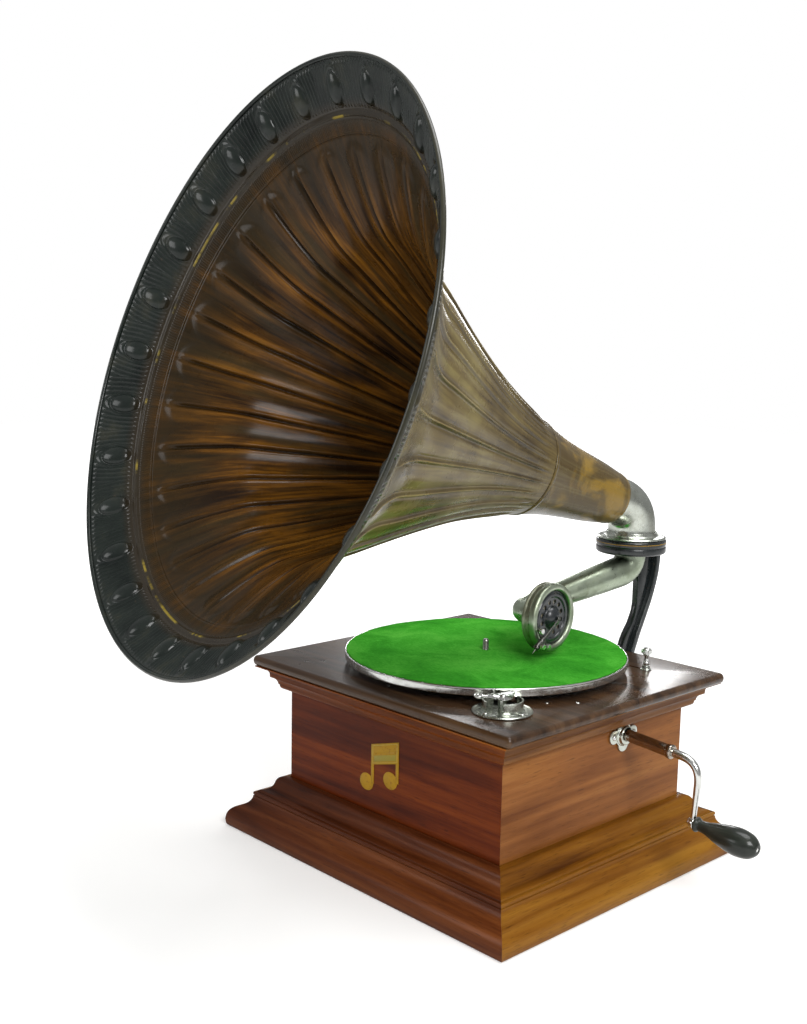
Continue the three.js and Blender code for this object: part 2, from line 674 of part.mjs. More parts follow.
const BRAKE_SCREWS = [[-16.5, 15.5], [18, 14.5]].map(([across, toFront]) => {
  const turn = radians(43);
  return [
    BRAKE.x + across * Math.cos(turn) + toFront * Math.sin(turn),
    BRAKE.y + across * Math.sin(turn) - toFront * Math.cos(turn),
  ];
});

function addBrake() {
  const floor = BOARD_TOP + GAP;
  const dish = turned([
    [0, floor], [29, floor], [29.4, floor + 1.2], [28.2, floor + 2], [26.5, floor + 1.4], [0, floor + 1.4],
  ], 18);
  const wall = washer(18.4, 20, [floor + 1, floor + 12.4], 18);
  const postOutside = disc(4.5, [floor + 1, floor + 12.4], 12);
  const front = box([-7, 9], [-30, -5], [floor + 2.4, floor + 20]).rotateZ(radians(30));
  const inner = box([-14, 14], [5, 30], [floor + 2.4, floor + 20]).rotateZ(radians(40));
  const housing = join(cut(join(dish, wall), front, inner), postOutside).translate(BRAKE.x, BRAKE.y, 0);
  const screwHoles = BRAKE_SCREWS.map(([x, y]) => disc(1.6, [floor - 1, floor + 4], 8, x, y));
  const pivotHole = disc(1.7, [floor + 4, floor + 20], 12, BRAKE.x, BRAKE.y);
  add('brake_base', cut(housing, ...screwHoles, pivotHole), NICKEL);
  BRAKE_SCREWS.forEach(([x, y], i) => {
    const place = screw(2.5, 1.3, 1.3, 7).translate(x, y, floor + 1.4 + GAP);
    add(`brake_screw_${i + 1}`, place, NICKEL);
  });
  addBrakeLever(floor + 12.4 + GAP);
}

function addBrakeLever(z) {
  const padTurn = radians(108.3);
  const pad = { x: BRAKE_PAD_ARM * Math.cos(padTurn), y: BRAKE_PAD_ARM * Math.sin(padTurn) };
  const fan = plate(shapeFrom([
    [-9, -5], [8, -8], [10, 2], [pad.x + 4, pad.y + 0.5], [pad.x - 1.4, pad.y + 0.5], [-10, 3],
  ]), [z, z + 1.8]);
  const hub = disc(7.5, [z, z + 1.8], 14);
  const tongue = plate(shapeFrom([[-4, 3], [-17, -10], [-14.5, -13], [3, -5]]), [z, z + 1.8]);
  const ring = washer(2.7, 4.6, [z, z + 1.8], 12, -18, -14);
  const tab = disc(2.4, [z - 1.5, z + 0.5], 10, pad.x, pad.y);
  const hole = disc(1.7, [z - 5, z + 5], 12);
  const lever = cut(join(fan, hub, tongue, ring, tab), hole);
  add('brake_lever', lever.translate(BRAKE.x, BRAKE.y, 0), NICKEL);
  add('brake_pad', disc(3, [z - 7, z - 1.5 - GAP], 12, BRAKE.x + pad.x, BRAKE.y + pad.y), LEATHER);
  add('brake_pivot_screw', screw(3.4, 1.8, 1.4, 8).translate(BRAKE.x, BRAKE.y, z + 1.8 + GAP), NICKEL);
}

function addRegulator() {
  const shank = turned([
    [0, 162], [1.2, 164], [2.1, 168], [2.1, 201], [3.4, 201.5], [3.4, 204], [2.4, 205], [2.4, 211],
    [3.4, 211.6], [3.4, 213.2], [5.4, 214], [5.6, 217.6], [4.6, 219.2], [0, 219.6],
  ], 12).translate(REGULATOR.x, REGULATOR.y, 0);
  add('speed_screw', shank, NICKEL);
  const bush = turned([
    [2.6, BOARD_TOP + GAP], [5.6, BOARD_TOP + GAP], [5.6, BOARD_TOP + 1.2], [4, BOARD_TOP + 2],
    [4, BOARD_TOP + 5], [2.6, BOARD_TOP + 5],
  ], 12).translate(REGULATOR.x, REGULATOR.y, 0);
  add('speed_bush', bush, NICKEL);
}

// ---------------------------------------------------------------- crank

function escutcheonScrewPlace(geometry, side) {
  return geometry.rotateY(Math.PI / 2).translate(BODY_HALF_X + 2.6, CRANK.y + side * 16, CRANK.z - 1.5);
}

function addEscutcheon() {
  const thickness = [GAP, 2.3];
  const lobes = [[16, 0, 6.4], [-16, 0, 6.4], [0, 11.5, 6.2], [0, -11.5, 6.2]];
  const round = lobes.map(([y, z, r]) => discAlongX(r, thickness, 10, y, z));
  const centre = discAlongX(12.6, thickness, 16);
  const boss = turnedAlongX([[0, 1], [11.4, 1], [11.4, 2.3], [9.6, 3.4], [9.4, 6.8], [0, 6.8]], 16);
  const arms = box(thickness, [-16, 16], [-3.6, 3.6]);
  const plateSolid = join(centre, boss, arms, ...round).translate(CRANK.x, CRANK.y, CRANK.z - 1.5);
  const bore = discAlongX(7.3, [-5, 12], 20, CRANK.y, CRANK.z).translate(CRANK.x, 0, 0);
  const screwHoles = [-1, 1].map((side) => escutcheonScrewPlace(disc(1.5, [-12, 4], 8), side));
  add('crank_escutcheon', cut(plateSolid, bore, ...screwHoles), NICKEL);
  for (const [number, side] of [[1, -1], [2, 1]]) {
    add(`escutcheon_screw_${number}`, escutcheonScrewPlace(screw(2.7, 1.5, 1.2, 11), side), NICKEL);
  }
}

const CRANK_TEETH = 8;
const CROWN_TEETH = 16;
const CROWN_RADIUS = 23;

function addCrank() {
  const frame = new THREE.Group();
  frame.position.set(CRANK.x, CRANK.y, CRANK.z);
  frame.rotation.y = radians(CRANK.droop);
  group.add(frame);
  const shaft = turnedAlongX([
    [0, -76], [4, -76], [4, -20], [6.3, -18], [6.3, CRANK_SLEEVE - 6], [7, CRANK_SLEEVE - 5],
    [7, CRANK_SLEEVE - 1.5], [5.8, CRANK_SLEEVE], [0, CRANK_SLEEVE],
  ], 14);
  const module_ = (2 * CROWN_RADIUS) / CROWN_TEETH;
  const pinion = plate(gearShape(CRANK_TEETH, module_, Math.PI / CRANK_TEETH), [-78, -70]);
  pinion.rotateY(Math.PI / 2);
  const socket = discAlongX(4, [CRANK_SLEEVE - 16, CRANK_SLEEVE + 1], 20);
  add('crank_shaft', cut(join(shaft, pinion), socket), STEEL, frame);
  const armPath = bentPath([
    new THREE.Vector3(CRANK_SLEEVE + GAP, 0, 0),
    new THREE.Vector3(CRANK_REACH, 0, 0),
    new THREE.Vector3(CRANK_REACH, 0, -CRANK_THROW),
  ], [22]);
  const arm = taperedBar(armPath, (t) => THREE.MathUtils.lerp(4.8, 2.5, t), 10, 8);
  const spigot = discAlongX(3.7, [CRANK_SLEEVE - 14, CRANK_SLEEVE + 2], 20);
  const eye = discAlongX(5.6, [CRANK_REACH - 2.8, CRANK_REACH + 2.8], 14, 0, -CRANK_THROW);
  const pinHole = discAlongX(2.4, [CRANK_REACH - 9, CRANK_REACH + 9], 16, 0, -CRANK_THROW);
  add('crank_arm', cut(join(arm, spigot, eye), pinHole), NICKEL, frame);
  const pin = turnedAlongX([
    [0, -6.4], [2.6, -6], [3.9, -4.4], [3.9, -3.1], [2.1, -3.1], [2.1, 71.5], [0, 71.5],
  ], 10).translate(CRANK_REACH, 0, -CRANK_THROW);
  add('crank_pin', pin, NICKEL, frame);
  const grip = new THREE.SplineCurve([
    [5.7, 9], [6.4, 16], [9.8, 28], [12.9, 43], [13.6, 53], [11.6, 64], [6.2, 71],
  ].map(([r, x]) => new THREE.Vector2(r, x))).getPoints(9).map(({ x, y }) => [x, y]);
  const handle = turnedAlongX([
    [2.5, 3.1], [7, 3.1], [7.3, 4.8], [6.6, 6.5], ...grip, [2.5, 72],
  ], 14).translate(CRANK_REACH, 0, -CRANK_THROW);
  add('crank_handle', handle, EBONISED, frame);
}

// ---------------------------------------------------------------- spring motor

const PILLARS = [[-36, -10], [-36, 88], [118, -8], [72, 92]];
const MOTOR_OUTLINE = [[-46, 128], [-20, 102]];
const SPEED_LEVER = { x: 120, y: 95 };

function addMotorFrame() {
  const [xs, ys] = MOTOR_OUTLINE;
  const top = plate(roundedRectangle(xs, ys, 9), [MOTOR_PLATE_BOTTOM, BOARD_BOTTOM - GAP], 3);
  const upTo = MOTOR_PLATE_BOTTOM + 1;
  const pillars = PILLARS.map(([x, y]) => disc(5, [MOTOR_LOWER[1] + GAP, upTo], 8, x, y));
  const lugs = [-31, 116].map((x) => box([x, x + 4], [GOVERNOR.y - 6, GOVERNOR.y + 6], [150, upTo]));
  const crankLug = box([108, 112], [CRANK.y - 9, CRANK.y + 9], [143, upTo]);
  const leverStud = disc(2, [163, upTo], 12, SPEED_LEVER.x, SPEED_LEVER.y);
  const governorBore = discAlongX(2.6, [-40, 130], 10, GOVERNOR.y, GOVERNOR.z);
  const crankBore = discAlongX(4.8, [-60, -30], 14).rotateY(radians(CRANK.droop));
  add('motor_frame', cut(
    join(top, ...pillars, ...lugs, crankLug, leverStud),
    disc(4.6, [175, 190], 14),
    disc(3.4, [175, 182], 12, IDLER.x, IDLER.y),
    disc(5, [175, 190], 14, BARREL.x, BARREL.y),
    governorBore,
    crankBore.translate(CRANK.x, CRANK.y, CRANK.z),
  ), GREY_IRON);
  const lower = plate(roundedRectangle(xs, ys, 9), MOTOR_LOWER, 3);
  add('motor_lower_plate', cut(
    lower,
    disc(2.9, [90, 110], 12),
    disc(3.4, [90, 110], 12, IDLER.x, IDLER.y),
    disc(5, [90, 110], 14, BARREL.x, BARREL.y),
  ), GREY_IRON);
}

function addBarrel() {
  const cup = turned([
    [40, 104], [42, 104], [42, 130.5], [5, 130.5], [5, 128], [40, 128],
  ], 20);
  const wheel = plate(gearShape(BARREL_TEETH, BARREL_MODULE, directionTo(BARREL, IDLER)), [130, 134]);
  const bore = disc(5, [120, 140], 10);
  add('spring_barrel', cut(join(cup, wheel), bore).translate(BARREL.x, BARREL.y, 0), BRASS);
  add('mainspring', mainspring().translate(BARREL.x, BARREL.y, 0), STEEL);
  const arbor = disc(4.5, [94, 183], 10);
  const crown = disc(CROWN_RADIUS + 4, [135, 139.5], 16);
  const teeth = [];
  for (let i = 0; i < CROWN_TEETH; i += 1) {
    const tooth = box([CROWN_RADIUS - 4, CROWN_RADIUS + 4], [-0.9, 0.9], [139, 143]);
    teeth.push(tooth.rotateZ((i * 2 * Math.PI) / CROWN_TEETH));
  }
  add('winding_arbor', join(arbor, crown, ...teeth).translate(BARREL.x, BARREL.y, 0), STEEL);
}

// A flat coil of spring steel, loose inside the barrel.
function mainspring() {
  const turns = 4;
  const perTurn = 10;
  const edge = (offset) => {
    const points = [];
    for (let i = 0; i <= turns * perTurn; i += 1) {
      const angle = (2 * Math.PI * i) / perTurn;
      const radius = 8 + (30 * i) / (turns * perTurn) + offset;
      points.push([radius * Math.cos(angle), radius * Math.sin(angle)]);
    }
    return points;
  };
  return plate(shapeFrom([...edge(0.7), ...edge(-0.7).reverse()]), [106, 126]);
}

function addIdler() {
  const toSpindle = directionTo(IDLER, { x: 0, y: 0 });
  const toBarrel = directionTo(IDLER, BARREL);
  const shaft = disc(3, [94, 181.7], 10);
  const wheel = plate(gearShape(WHEEL_TEETH, WHEEL_MODULE, toSpindle), [157, 161]);
  const pinionAt = toBarrel + Math.PI / IDLER_TEETH;
  const pinion = plate(gearShape(IDLER_TEETH, BARREL_MODULE, pinionAt), [127.5, 134.5]);
  add('intermediate_gear', join(shaft, wheel, pinion).translate(IDLER.x, IDLER.y, 0), BRASS);
}

// Single-start worm thread about +X. At rest its crest faces -Y at the distance crestAt along X.
class WormThread extends THREE.Curve {
  constructor(crestAt, turns) {
    super();
    this.crestAt = crestAt;
    this.turns = turns;
  }

  getPoint(t) {
    const turn = (t - 0.5) * this.turns;
    const angle = 2 * Math.PI * turn;
    return new THREE.Vector3(
      this.crestAt + turn * Math.PI * WHEEL_MODULE,
      GOVERNOR.y - WORM_RADIUS * Math.cos(angle),
      GOVERNOR.z - WORM_RADIUS * Math.sin(angle),
    );
  }
}

// Where a gap between two teeth of the intermediate wheel faces the worm.
function wormGap() {
  const step = (2 * Math.PI) / WHEEL_TEETH;
  const firstGap = directionTo(IDLER, { x: 0, y: 0 }) + step / 2;
  const toWorm = Math.PI / 2;
  const nearest = firstGap + Math.round((toWorm - firstGap) / step) * step;
  return IDLER.x + ((WHEEL_TEETH * WHEEL_MODULE) / 2) * Math.cos(nearest);
}

function addGovernor() {
  const { y, z } = GOVERNOR;
  const crest = wormGap();
  const turns = 3;
  const shaft = discAlongX(2.2, [-33, 122], 8, y, z);
  const core = discAlongX(3.6, [crest - 14, crest + 14], 12, y, z);
  const thread = taperedBar(new WormThread(crest, turns), () => 1.3, turns * 8, 4);
  add('governor_shaft', join(shaft, core, thread), STEEL);
  const parts = [discAlongX(15, [105.7, 108.2], 14, y, z), discAlongX(12, [84, 86.5], 10, y, z)];
  for (const turn of [0, 120, 240]) {
    const weight = new THREE.SphereGeometry(5, 6, 4).translate(96, 0, 11.5);
    const strip = box([85, 107], [-2.5, 2.5], [9.8, 11]);
    parts.push(weight.rotateX(radians(turn)).translate(0, y, z));
    parts.push(strip.rotateX(radians(turn)).translate(0, y, z));
  }
  add('governor_weights', cut(join(...parts), discAlongX(2.6, [80, 112], 8, y, z)), BRASS);
}

// Bent lever on the frame's stud: the regulator pushes one end, the other rubs the governor disc.
function addSpeedLever() {
  const outline = [[109, 78], [112, 77], [123, 93], [123.4, 118], [121, 118], [116.5, 96]];
  const arm = plate(shapeFrom(outline), [165, 168]);
  const pad = box([108.8, 111.2], [77.6, 82], [160, 166]);
  const hole = disc(2.4, [160, 172], 12, SPEED_LEVER.x, SPEED_LEVER.y);
  add('speed_lever', cut(join(arm, pad), hole), STEEL);
}

addPanels();
addTopBoard();
addRails('cornice', corniceShape(), MAHOGANY);
addRails('plinth', plinthShape(), MAHOGANY);
addOrnament();
addTurntable();
addHorn();
addBracket();
addTonearm();
addSoundbox();
addBrake();
addRegulator();
addEscutcheon();
addCrank();
addMotorFrame();
addBarrel();
addIdler();
addGovernor();
addSpeedLever();

export default group;
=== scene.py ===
import json
import math

import bmesh
import bpy
import numpy as np
from mathutils import Matrix, Vector


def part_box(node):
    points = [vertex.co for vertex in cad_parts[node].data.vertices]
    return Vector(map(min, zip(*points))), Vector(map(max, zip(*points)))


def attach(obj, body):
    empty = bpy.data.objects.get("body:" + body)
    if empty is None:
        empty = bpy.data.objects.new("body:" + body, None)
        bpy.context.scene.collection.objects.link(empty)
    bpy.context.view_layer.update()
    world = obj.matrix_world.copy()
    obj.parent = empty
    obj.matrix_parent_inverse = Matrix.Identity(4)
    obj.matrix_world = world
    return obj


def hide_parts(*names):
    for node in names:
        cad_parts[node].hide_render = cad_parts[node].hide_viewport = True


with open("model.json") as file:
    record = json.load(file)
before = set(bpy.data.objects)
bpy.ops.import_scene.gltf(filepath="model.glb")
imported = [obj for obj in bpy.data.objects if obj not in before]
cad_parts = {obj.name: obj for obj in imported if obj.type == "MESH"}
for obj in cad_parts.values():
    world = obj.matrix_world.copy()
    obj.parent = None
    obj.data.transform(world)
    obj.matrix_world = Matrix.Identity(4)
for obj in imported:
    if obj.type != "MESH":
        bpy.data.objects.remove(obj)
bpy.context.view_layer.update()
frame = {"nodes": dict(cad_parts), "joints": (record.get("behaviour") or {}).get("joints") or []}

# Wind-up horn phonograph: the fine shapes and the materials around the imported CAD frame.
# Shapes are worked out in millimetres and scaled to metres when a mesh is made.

MM = 0.001
TAU = 2 * math.pi
UP, RIGHT, FRONT, BACK = (0, 0, 1), (1, 0, 0), (0, -1, 0), (0, 1, 0)

JOINTS = {joint["name"]: joint for joint in frame["joints"]}


def spot(joint):
    """A joint's place in millimetres."""
    return Vector(JOINTS[joint]["pos_m"]) / MM


def axis(joint):
    return Vector(JOINTS[joint]["axis"]).normalized()


def size(node):
    """A CAD node's lowest and highest corner in millimetres."""
    low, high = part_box(node)
    return low / MM, high / MM


# ---------------------------------------------------------------- dimensions

BODY_X = size("right_panel")[1].x
BODY_Y = -size("front_panel")[0].y
PANEL = 14
PANEL_BOTTOM, PANEL_TOP = size("front_panel")[0].z, size("front_panel")[1].z
PLINTH_TOP = size("plinth_front")[1].z
BOARD_LOW, BOARD_HIGH = size("top_board")
DECK = BOARD_HIGH.z
DECK_SCREWS = [(138.7, -61.4), (158.1, -37.9), (-2.7, -139.7)]

FELT_TOP = size("felt_mat")[1].z
FELT_RADIUS = size("felt_mat")[1].x
RIM_RADIUS = size("turntable")[1].x
SPINDLE_TOP = size("spindle")[1].z

SWIVEL = spot("horn_swivel")
RING_BOTTOM, RING_TOP, RING_RADIUS = 307, 323, 39.5
HORN_AZIMUTH, HORN_RISE = math.radians(8.5), math.radians(17.6)
HORN_APEX = Vector((SWIVEL.x, SWIVEL.y, 359.5))
HORN_START = 3
HORN_DIRECTION = Vector((
    -math.cos(HORN_RISE) * math.sin(HORN_AZIMUTH),
    -math.cos(HORN_RISE) * math.cos(HORN_AZIMUTH),
    math.sin(HORN_RISE),
))
HORN_LEVEL = Vector((-math.cos(HORN_AZIMUTH), math.sin(HORN_AZIMUTH), 0))
HORN_UP = HORN_LEVEL.cross(HORN_DIRECTION) * -1
HORN_POINTS = [(0, 22.5), (60, 33.7), (150, 47.3), (260, 82.7), (380, 143), (440, 182), (530.7, 289.5)]
HORN_NECK_START, HORN_SEAM, HORN_RIM_START, HORN_LENGTH = 33, 173, 484, 528.1
HORN_WALL = 1.2
RIBS, RIB_AT = 28, math.radians(9.3)
BOSSES, BOSS_AT = 28, math.radians(10.4)
REEDS = 560
BOSS_RING = 264
EMBOSSED_FROM, EMBOSSED_TO = 250, 284
GOLD_FROM, GOLD_TO = 493.9, 495.9
ELBOW_RADIUS = 26.5

SOUNDBOX = spot("soundbox_turn")
SOUNDBOX_AXIS = axis("soundbox_turn")
SOUNDBOX_RADIUS = 36.6
BAR_ANGLE = math.radians(34)

CRANK = spot("crank_turn")
CRANK_AXIS = axis("crank_turn")
HANDLE = spot("handle_spin")
BRAKE = spot("brake_swing")
REGULATOR = spot("speed_screw_turn")

WORLD_STRENGTH = 0.42

# ---------------------------------------------------------------- mesh helpers


def curve(points, count=40):
    """A smooth curve through the points (Catmull-Rom), count samples to each span."""
    points = [np.array(p, float) for p in points]
    result = []
    for i in range(len(points) - 1):
        before = points[max(i - 1, 0)]
        start, end = points[i], points[i + 1]
        after = points[min(i + 2, len(points) - 1)]
        for k in range(count):
            t = k / count
            slope_in, slope_out = (end - before) / 2, (after - start) / 2
            result.append(
                (2 * t**3 - 3 * t**2 + 1) * start + (t**3 - 2 * t**2 + t) * slope_in
                + (3 * t**2 - 2 * t**3) * end + (t**3 - t**2) * slope_out
            )
    result.append(points[-1])
    return np.array(result)


def bow(start, control, end, count=8):
    """A quadratic curve, without its last point."""
    start, control, end = (np.array(p, float) for p in (start, control, end))
    steps = np.linspace(0, 1, count, endpoint=False)
    return [(1 - t) ** 2 * start + 2 * t * (1 - t) * control + t * t * end for t in steps]


def rounded(points, radius, closed=False, steps=4):
    """The polyline with each corner turned into a short curve."""
    points = [np.array(p, float) for p in points]
    result = []
    for i, corner in enumerate(points):
        if not closed and i in (0, len(points) - 1):
            result.append(corner)
            continue
        before, after = points[i - 1], points[(i + 1) % len(points)]
        ends = []
        for other in (before, after):
            length = np.linalg.norm(other - corner)
            ends.append(corner + (other - corner) * min(radius, 0.45 * length) / length)
        result += bow(ends[0], corner, ends[1], steps) + [ends[1]]
    return result


def along(direction, origin, across=None):
    """A matrix whose Z runs along direction from origin, with X near across."""
    z = Vector(direction).normalized()
    if not across:
        across = UP if abs(z.z) < 0.9 else RIGHT
    across = Vector(across)
    x = (across - z * across.dot(z)).normalized()
    y = z.cross(x)
    matrix = Matrix((x, y, z)).transposed().to_4x4()
    matrix.translation = Vector(origin)
    return matrix


def placed(part, matrix):
    vertices, faces = part
    turn = np.array(matrix.to_3x3())
    return np.asarray(vertices, float) @ turn.T + np.array(matrix.translation), faces


def loft(loops, ring=False):
    """A skin over loops with the same number of points, capped unless it closes on itself."""
    around = len(loops[0])
    count = len(loops)
    faces = []
    for i in range(count if ring else count - 1):
        a, b = i * around, ((i + 1) % count) * around
        faces += [(a + j, a + (j + 1) % around, b + (j + 1) % around, b + j) for j in range(around)]
    if not ring:
        last = (count - 1) * around
        faces += [tuple(range(around))[::-1], tuple(range(last, last + around))]
    return np.concatenate([np.asarray(loop, float) for loop in loops]), faces


def lathe(profile, segments=72):
    """A turned solid about Z from (radius, height) points; a bored profile closes on itself."""
    angles = np.linspace(0, TAU, segments, endpoint=False)
    circle = np.column_stack([np.cos(angles), np.sin(angles), np.zeros(segments)])
    loops = [circle * max(radius, 0.004) + (0, 0, height) for radius, height in profile]
    return loft(loops, ring=profile[0][0] > 0.01)


def turned(profile, direction, origin, segments=72, edge=0.25):
    """A lathe piece with eased edges, set along a direction."""
    bored = profile[0][0] > 0.01
    eased = rounded(profile, edge, closed=bored, steps=3)
    return placed(lathe(eased, segments), along(direction, origin))


def rod(radius, low, high, direction, origin, segments=32, edge=0.01):
    """A plain cylinder along a direction, mostly to cut holes with."""
    return turned(rectangle(0, radius, low, high), direction, origin, segments, edge)


def upright(profile, x, y, segments=48, edge=0.3):
    """A lathe piece with eased edges on a vertical axis, listed in (radius, height)."""
    bored = profile[0][0] > 0.01
    return placed(lathe(rounded(profile, edge, closed=bored), segments), Matrix.Translation((x, y, 0)))


def rectangle(left, right, low, high):
    """Four corners, anticlockwise. As a lathe section it makes a plain ring."""
    return [(left, low), (right, low), (right, high), (left, high)]


def inset(outline, amount):
    """The closed outline moved inwards (for one listed anticlockwise)."""
    points = np.asarray(outline, float)
    edges = np.roll(points, -1, 0) - points
    normals = np.column_stack([-edges[:, 1], edges[:, 0]])
    normals /= np.linalg.norm(normals, axis=1, keepdims=True) + 1e-9
    inward = normals + np.roll(normals, 1, 0)
    inward /= np.linalg.norm(inward, axis=1, keepdims=True) + 1e-9
    return points + inward * amount


def distinct(points):
    """The points of a closed outline without any that repeat the one before."""
    return [p for p, before in zip(points, [points[-1], *points[:-1]]) if math.dist(p, before) > 1e-6]


def prism(outline, low, high, edge=0.3):
    """A plate with eased edges between two heights along Z."""
    outline = distinct([tuple(point) for point in outline])
    levels = [(edge, low), (edge * 0.3, low + edge * 0.3), (0, low + edge),
              (0, high - edge), (edge * 0.3, high - edge * 0.3), (edge, high)]
    loops = []
    for amount, height in levels:
        flat = inset(outline, amount)
        loops.append(np.column_stack([flat, np.full(len(flat), height)]))
    return loft(loops)


def block(low, high, edge=0.0):
    """A box between two corners."""
    corners = rectangle(low[0], high[0], low[1], high[1])
    if edge:
        return prism(corners, low[2], high[2], edge)
    return loft([[(x, y, z) for x, y in corners] for z in (low[2], high[2])])


def bent_path(corners, reaches, steps=10):
    """Straight runs between the corners with each inner corner rounded off."""
    corners = [np.array(c, float) for c in corners]
    path = [corners[0]]
    for corner, before, after, reach in zip(corners[1:-1], corners, corners[2:], reaches):
        back = corner + (before - corner) * reach / np.linalg.norm(before - corner)
        onward = corner + (after - corner) * reach / np.linalg.norm(after - corner)
        run = path[-1]
        path += [run + (back - run) * t for t in (0.25, 0.5, 0.75)]
        path += bow(back, corner, onward, steps) + [onward]
    run = path[-1]
    path += [run + (corners[-1] - run) * t for t in (0.25, 0.5, 0.75, 1)]
    return np.array(path)


def frames(path, first=None):
    """Unit tangents and two cross directions along a path, carried along without twist."""
    tangents = np.gradient(path, axis=0)
    tangents /= np.linalg.norm(tangents, axis=1, keepdims=True)
    side = np.array(first if first is not None else (0.31, 0.17, 0.93), float)
    result = []
    for tangent in tangents:
        side = side - tangent * side.dot(tangent)
        side /= np.linalg.norm(side)
        result.append((side.copy(), np.cross(tangent, side)))
    return result


def distances(path):
    steps = np.linalg.norm(np.diff(path, axis=0), axis=1)
    total = np.concatenate([[0], np.cumsum(steps)])
    return total / total[-1]


def sweep(path, section, first=None):
    """A skin whose section(share of the length) gives a loop of (side, other) points."""
    loops = []
    for point, (side, other), share in zip(path, frames(path, first), distances(path)):
        loop = np.asarray(section(share), float)
        loops.append(point + np.outer(loop[:, 0], side) + np.outer(loop[:, 1], other))
    return loops


def circle_of(radius, sides=40):
    angles = np.linspace(0, TAU, sides, endpoint=False)
    return np.column_stack([radius * np.cos(angles), radius * np.sin(angles)])


def tube(path, radius_at, wall=0, sides=40):
    """A round bar along a path, or an open pipe if it has a wall."""
    outer = sweep(path, lambda share: circle_of(radius_at(share), sides))
    if not wall:
        return loft(outer)
    inner = sweep(path, lambda share: circle_of(radius_at(share) - wall, sides))
    return loft(outer + inner[::-1], ring=True)


def knurled(radius, low, high, ridges=28):
    """A short cylinder with fine ridges round it."""
    angles = np.linspace(0, TAU, ridges * 4, endpoint=False)
    depth = 0.05 * radius
    wave = radius - depth * (0.5 + 0.5 * np.cos(angles * ridges))
    loops = []
    for share, height in ((0.86, low), (1, low + 0.3), (1, high - 0.3), (0.86, high)):
        loops.append(np.column_stack([
            wave * share * np.cos(angles), wave * share * np.sin(angles), np.full(len(angles), height),
        ]))
    return loft(loops)


def bare(name, part):
    """An object from one or more (vertices, faces) parts in millimetres."""
    parts = part if isinstance(part, list) else [part]
    vertices, faces, start = [], [], 0
    for points, polygons in parts:
        vertices.append(np.asarray(points, float))
        faces += [tuple(v + start for v in polygon) for polygon in polygons]
        start += len(points)
    mesh = bpy.data.meshes.new(name)
    mesh.from_pydata((np.concatenate(vertices) * MM).tolist(), [], faces)
    obj = bpy.data.objects.new(name, mesh)
    bpy.context.scene.collection.objects.link(obj)
    return obj


def face_outwards(mesh, weld=0.0):
    """Turns the faces outwards, after merging points closer than weld."""
    work = bmesh.new()
    work.from_mesh(mesh)
    if weld:
        bmesh.ops.remove_doubles(work, verts=work.verts, dist=weld)
    bmesh.ops.recalc_face_normals(work, faces=work.faces)
    work.to_mesh(mesh)
    work.free()
    mesh.shade_smooth()


def tidy_surface(mesh, crease):
    """A smooth surface, with the edges above the crease angle left sharp."""
    face_outwards(mesh, weld=1e-6)
    mesh.set_sharp_from_angle(angle=math.radians(crease))


def combine(obj, parts, operation):
    """Cuts the parts out of obj, or joins them to it, and keeps the result as its mesh."""
    tools = [bare("tool", part) for part in parts]
    for tool in tools:
        tidy_surface(tool.data, 30)
        modifier = obj.modifiers.new("combine", "BOOLEAN")
        modifier.operation = operation
        modifier.solver = "EXACT"
        modifier.object = tool
    bpy.context.view_layer.update()
    result = obj.evaluated_get(bpy.context.evaluated_depsgraph_get())
    mesh = bpy.data.meshes.new_from_object(result)
    obj.modifiers.clear()
    obj.data = mesh
    for tool in tools:
        bpy.data.objects.remove(tool)


def piece(name, part, material, body, nodes=(), cuts=(), joins=(), crease=35):
    """One visible piece: its mesh, its material, the CAD body it rides on and the nodes it stands for."""
    obj = bare(name, part)
    tidy_surface(obj.data, crease)
    if joins:
        combine(obj, joins, "UNION")
    if cuts:
        combine(obj, cuts, "DIFFERENCE")
    if joins or cuts:
        tidy_surface(obj.data, crease)
    obj.data.materials.clear()
    obj.data.materials.append(material)
    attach(obj, body)
    if nodes:
        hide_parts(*nodes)
    return obj


# ---------------------------------------------------------------- materials


class Nodes:
    """A node tree being built. The methods below plug() each add a node and return its output."""

    def __init__(self, tree):
        self.tree = tree

    def node(self, kind, inputs=None, **settings):
        node = self.tree.nodes.new(kind)
        for key, value in settings.items():
            setattr(node, key, value)
        for key, value in (inputs or {}).items():
            self.plug(node.inputs[key], value)
        return node

    def plug(self, socket, value):
        if isinstance(value, bpy.types.NodeSocket):
            self.tree.links.new(value, socket)
        elif value is not None:
            if socket.type == "RGBA" and len(value) == 3:
                value = (*value, 1)
            socket.default_value = value

    def between(self, value, low, high, out_low=0.0, out_high=1.0):
        inputs = {0: value, 1: low, 2: high, 3: out_low, 4: out_high}
        node = self.node("ShaderNodeMapRange", inputs, interpolation_type="SMOOTHSTEP")
        return node.outputs[0]

    def math(self, operation, first, second=0.0):
        return self.node("ShaderNodeMath", {0: first, 1: second}, operation=operation).outputs[0]

    def times(self, first, second):
        return self.math("MULTIPLY", first, second)

    def total(self, first, first_share, second, second_share):
        """The sum of two values, each times its share."""
        return self.math("ADD", self.times(first, first_share), self.times(second, second_share))

    def ramp(self, value, *stops):
        node = self.node("ShaderNodeValToRGB", {0: value})
        elements = node.color_ramp.elements
        while len(elements) < len(stops):
            elements.new(0.5)
        for element, (position, color) in zip(elements, stops):
            element.position = position
            element.color = (*color, 1)
        return node.outputs[0]

    def mix(self, factor, first, second):
        node = self.node("ShaderNodeMix", data_type="RGBA")
        self.plug(node.inputs[0], factor)
        self.plug(node.inputs[6], first)
        self.plug(node.inputs[7], second)
        return node.outputs[2]


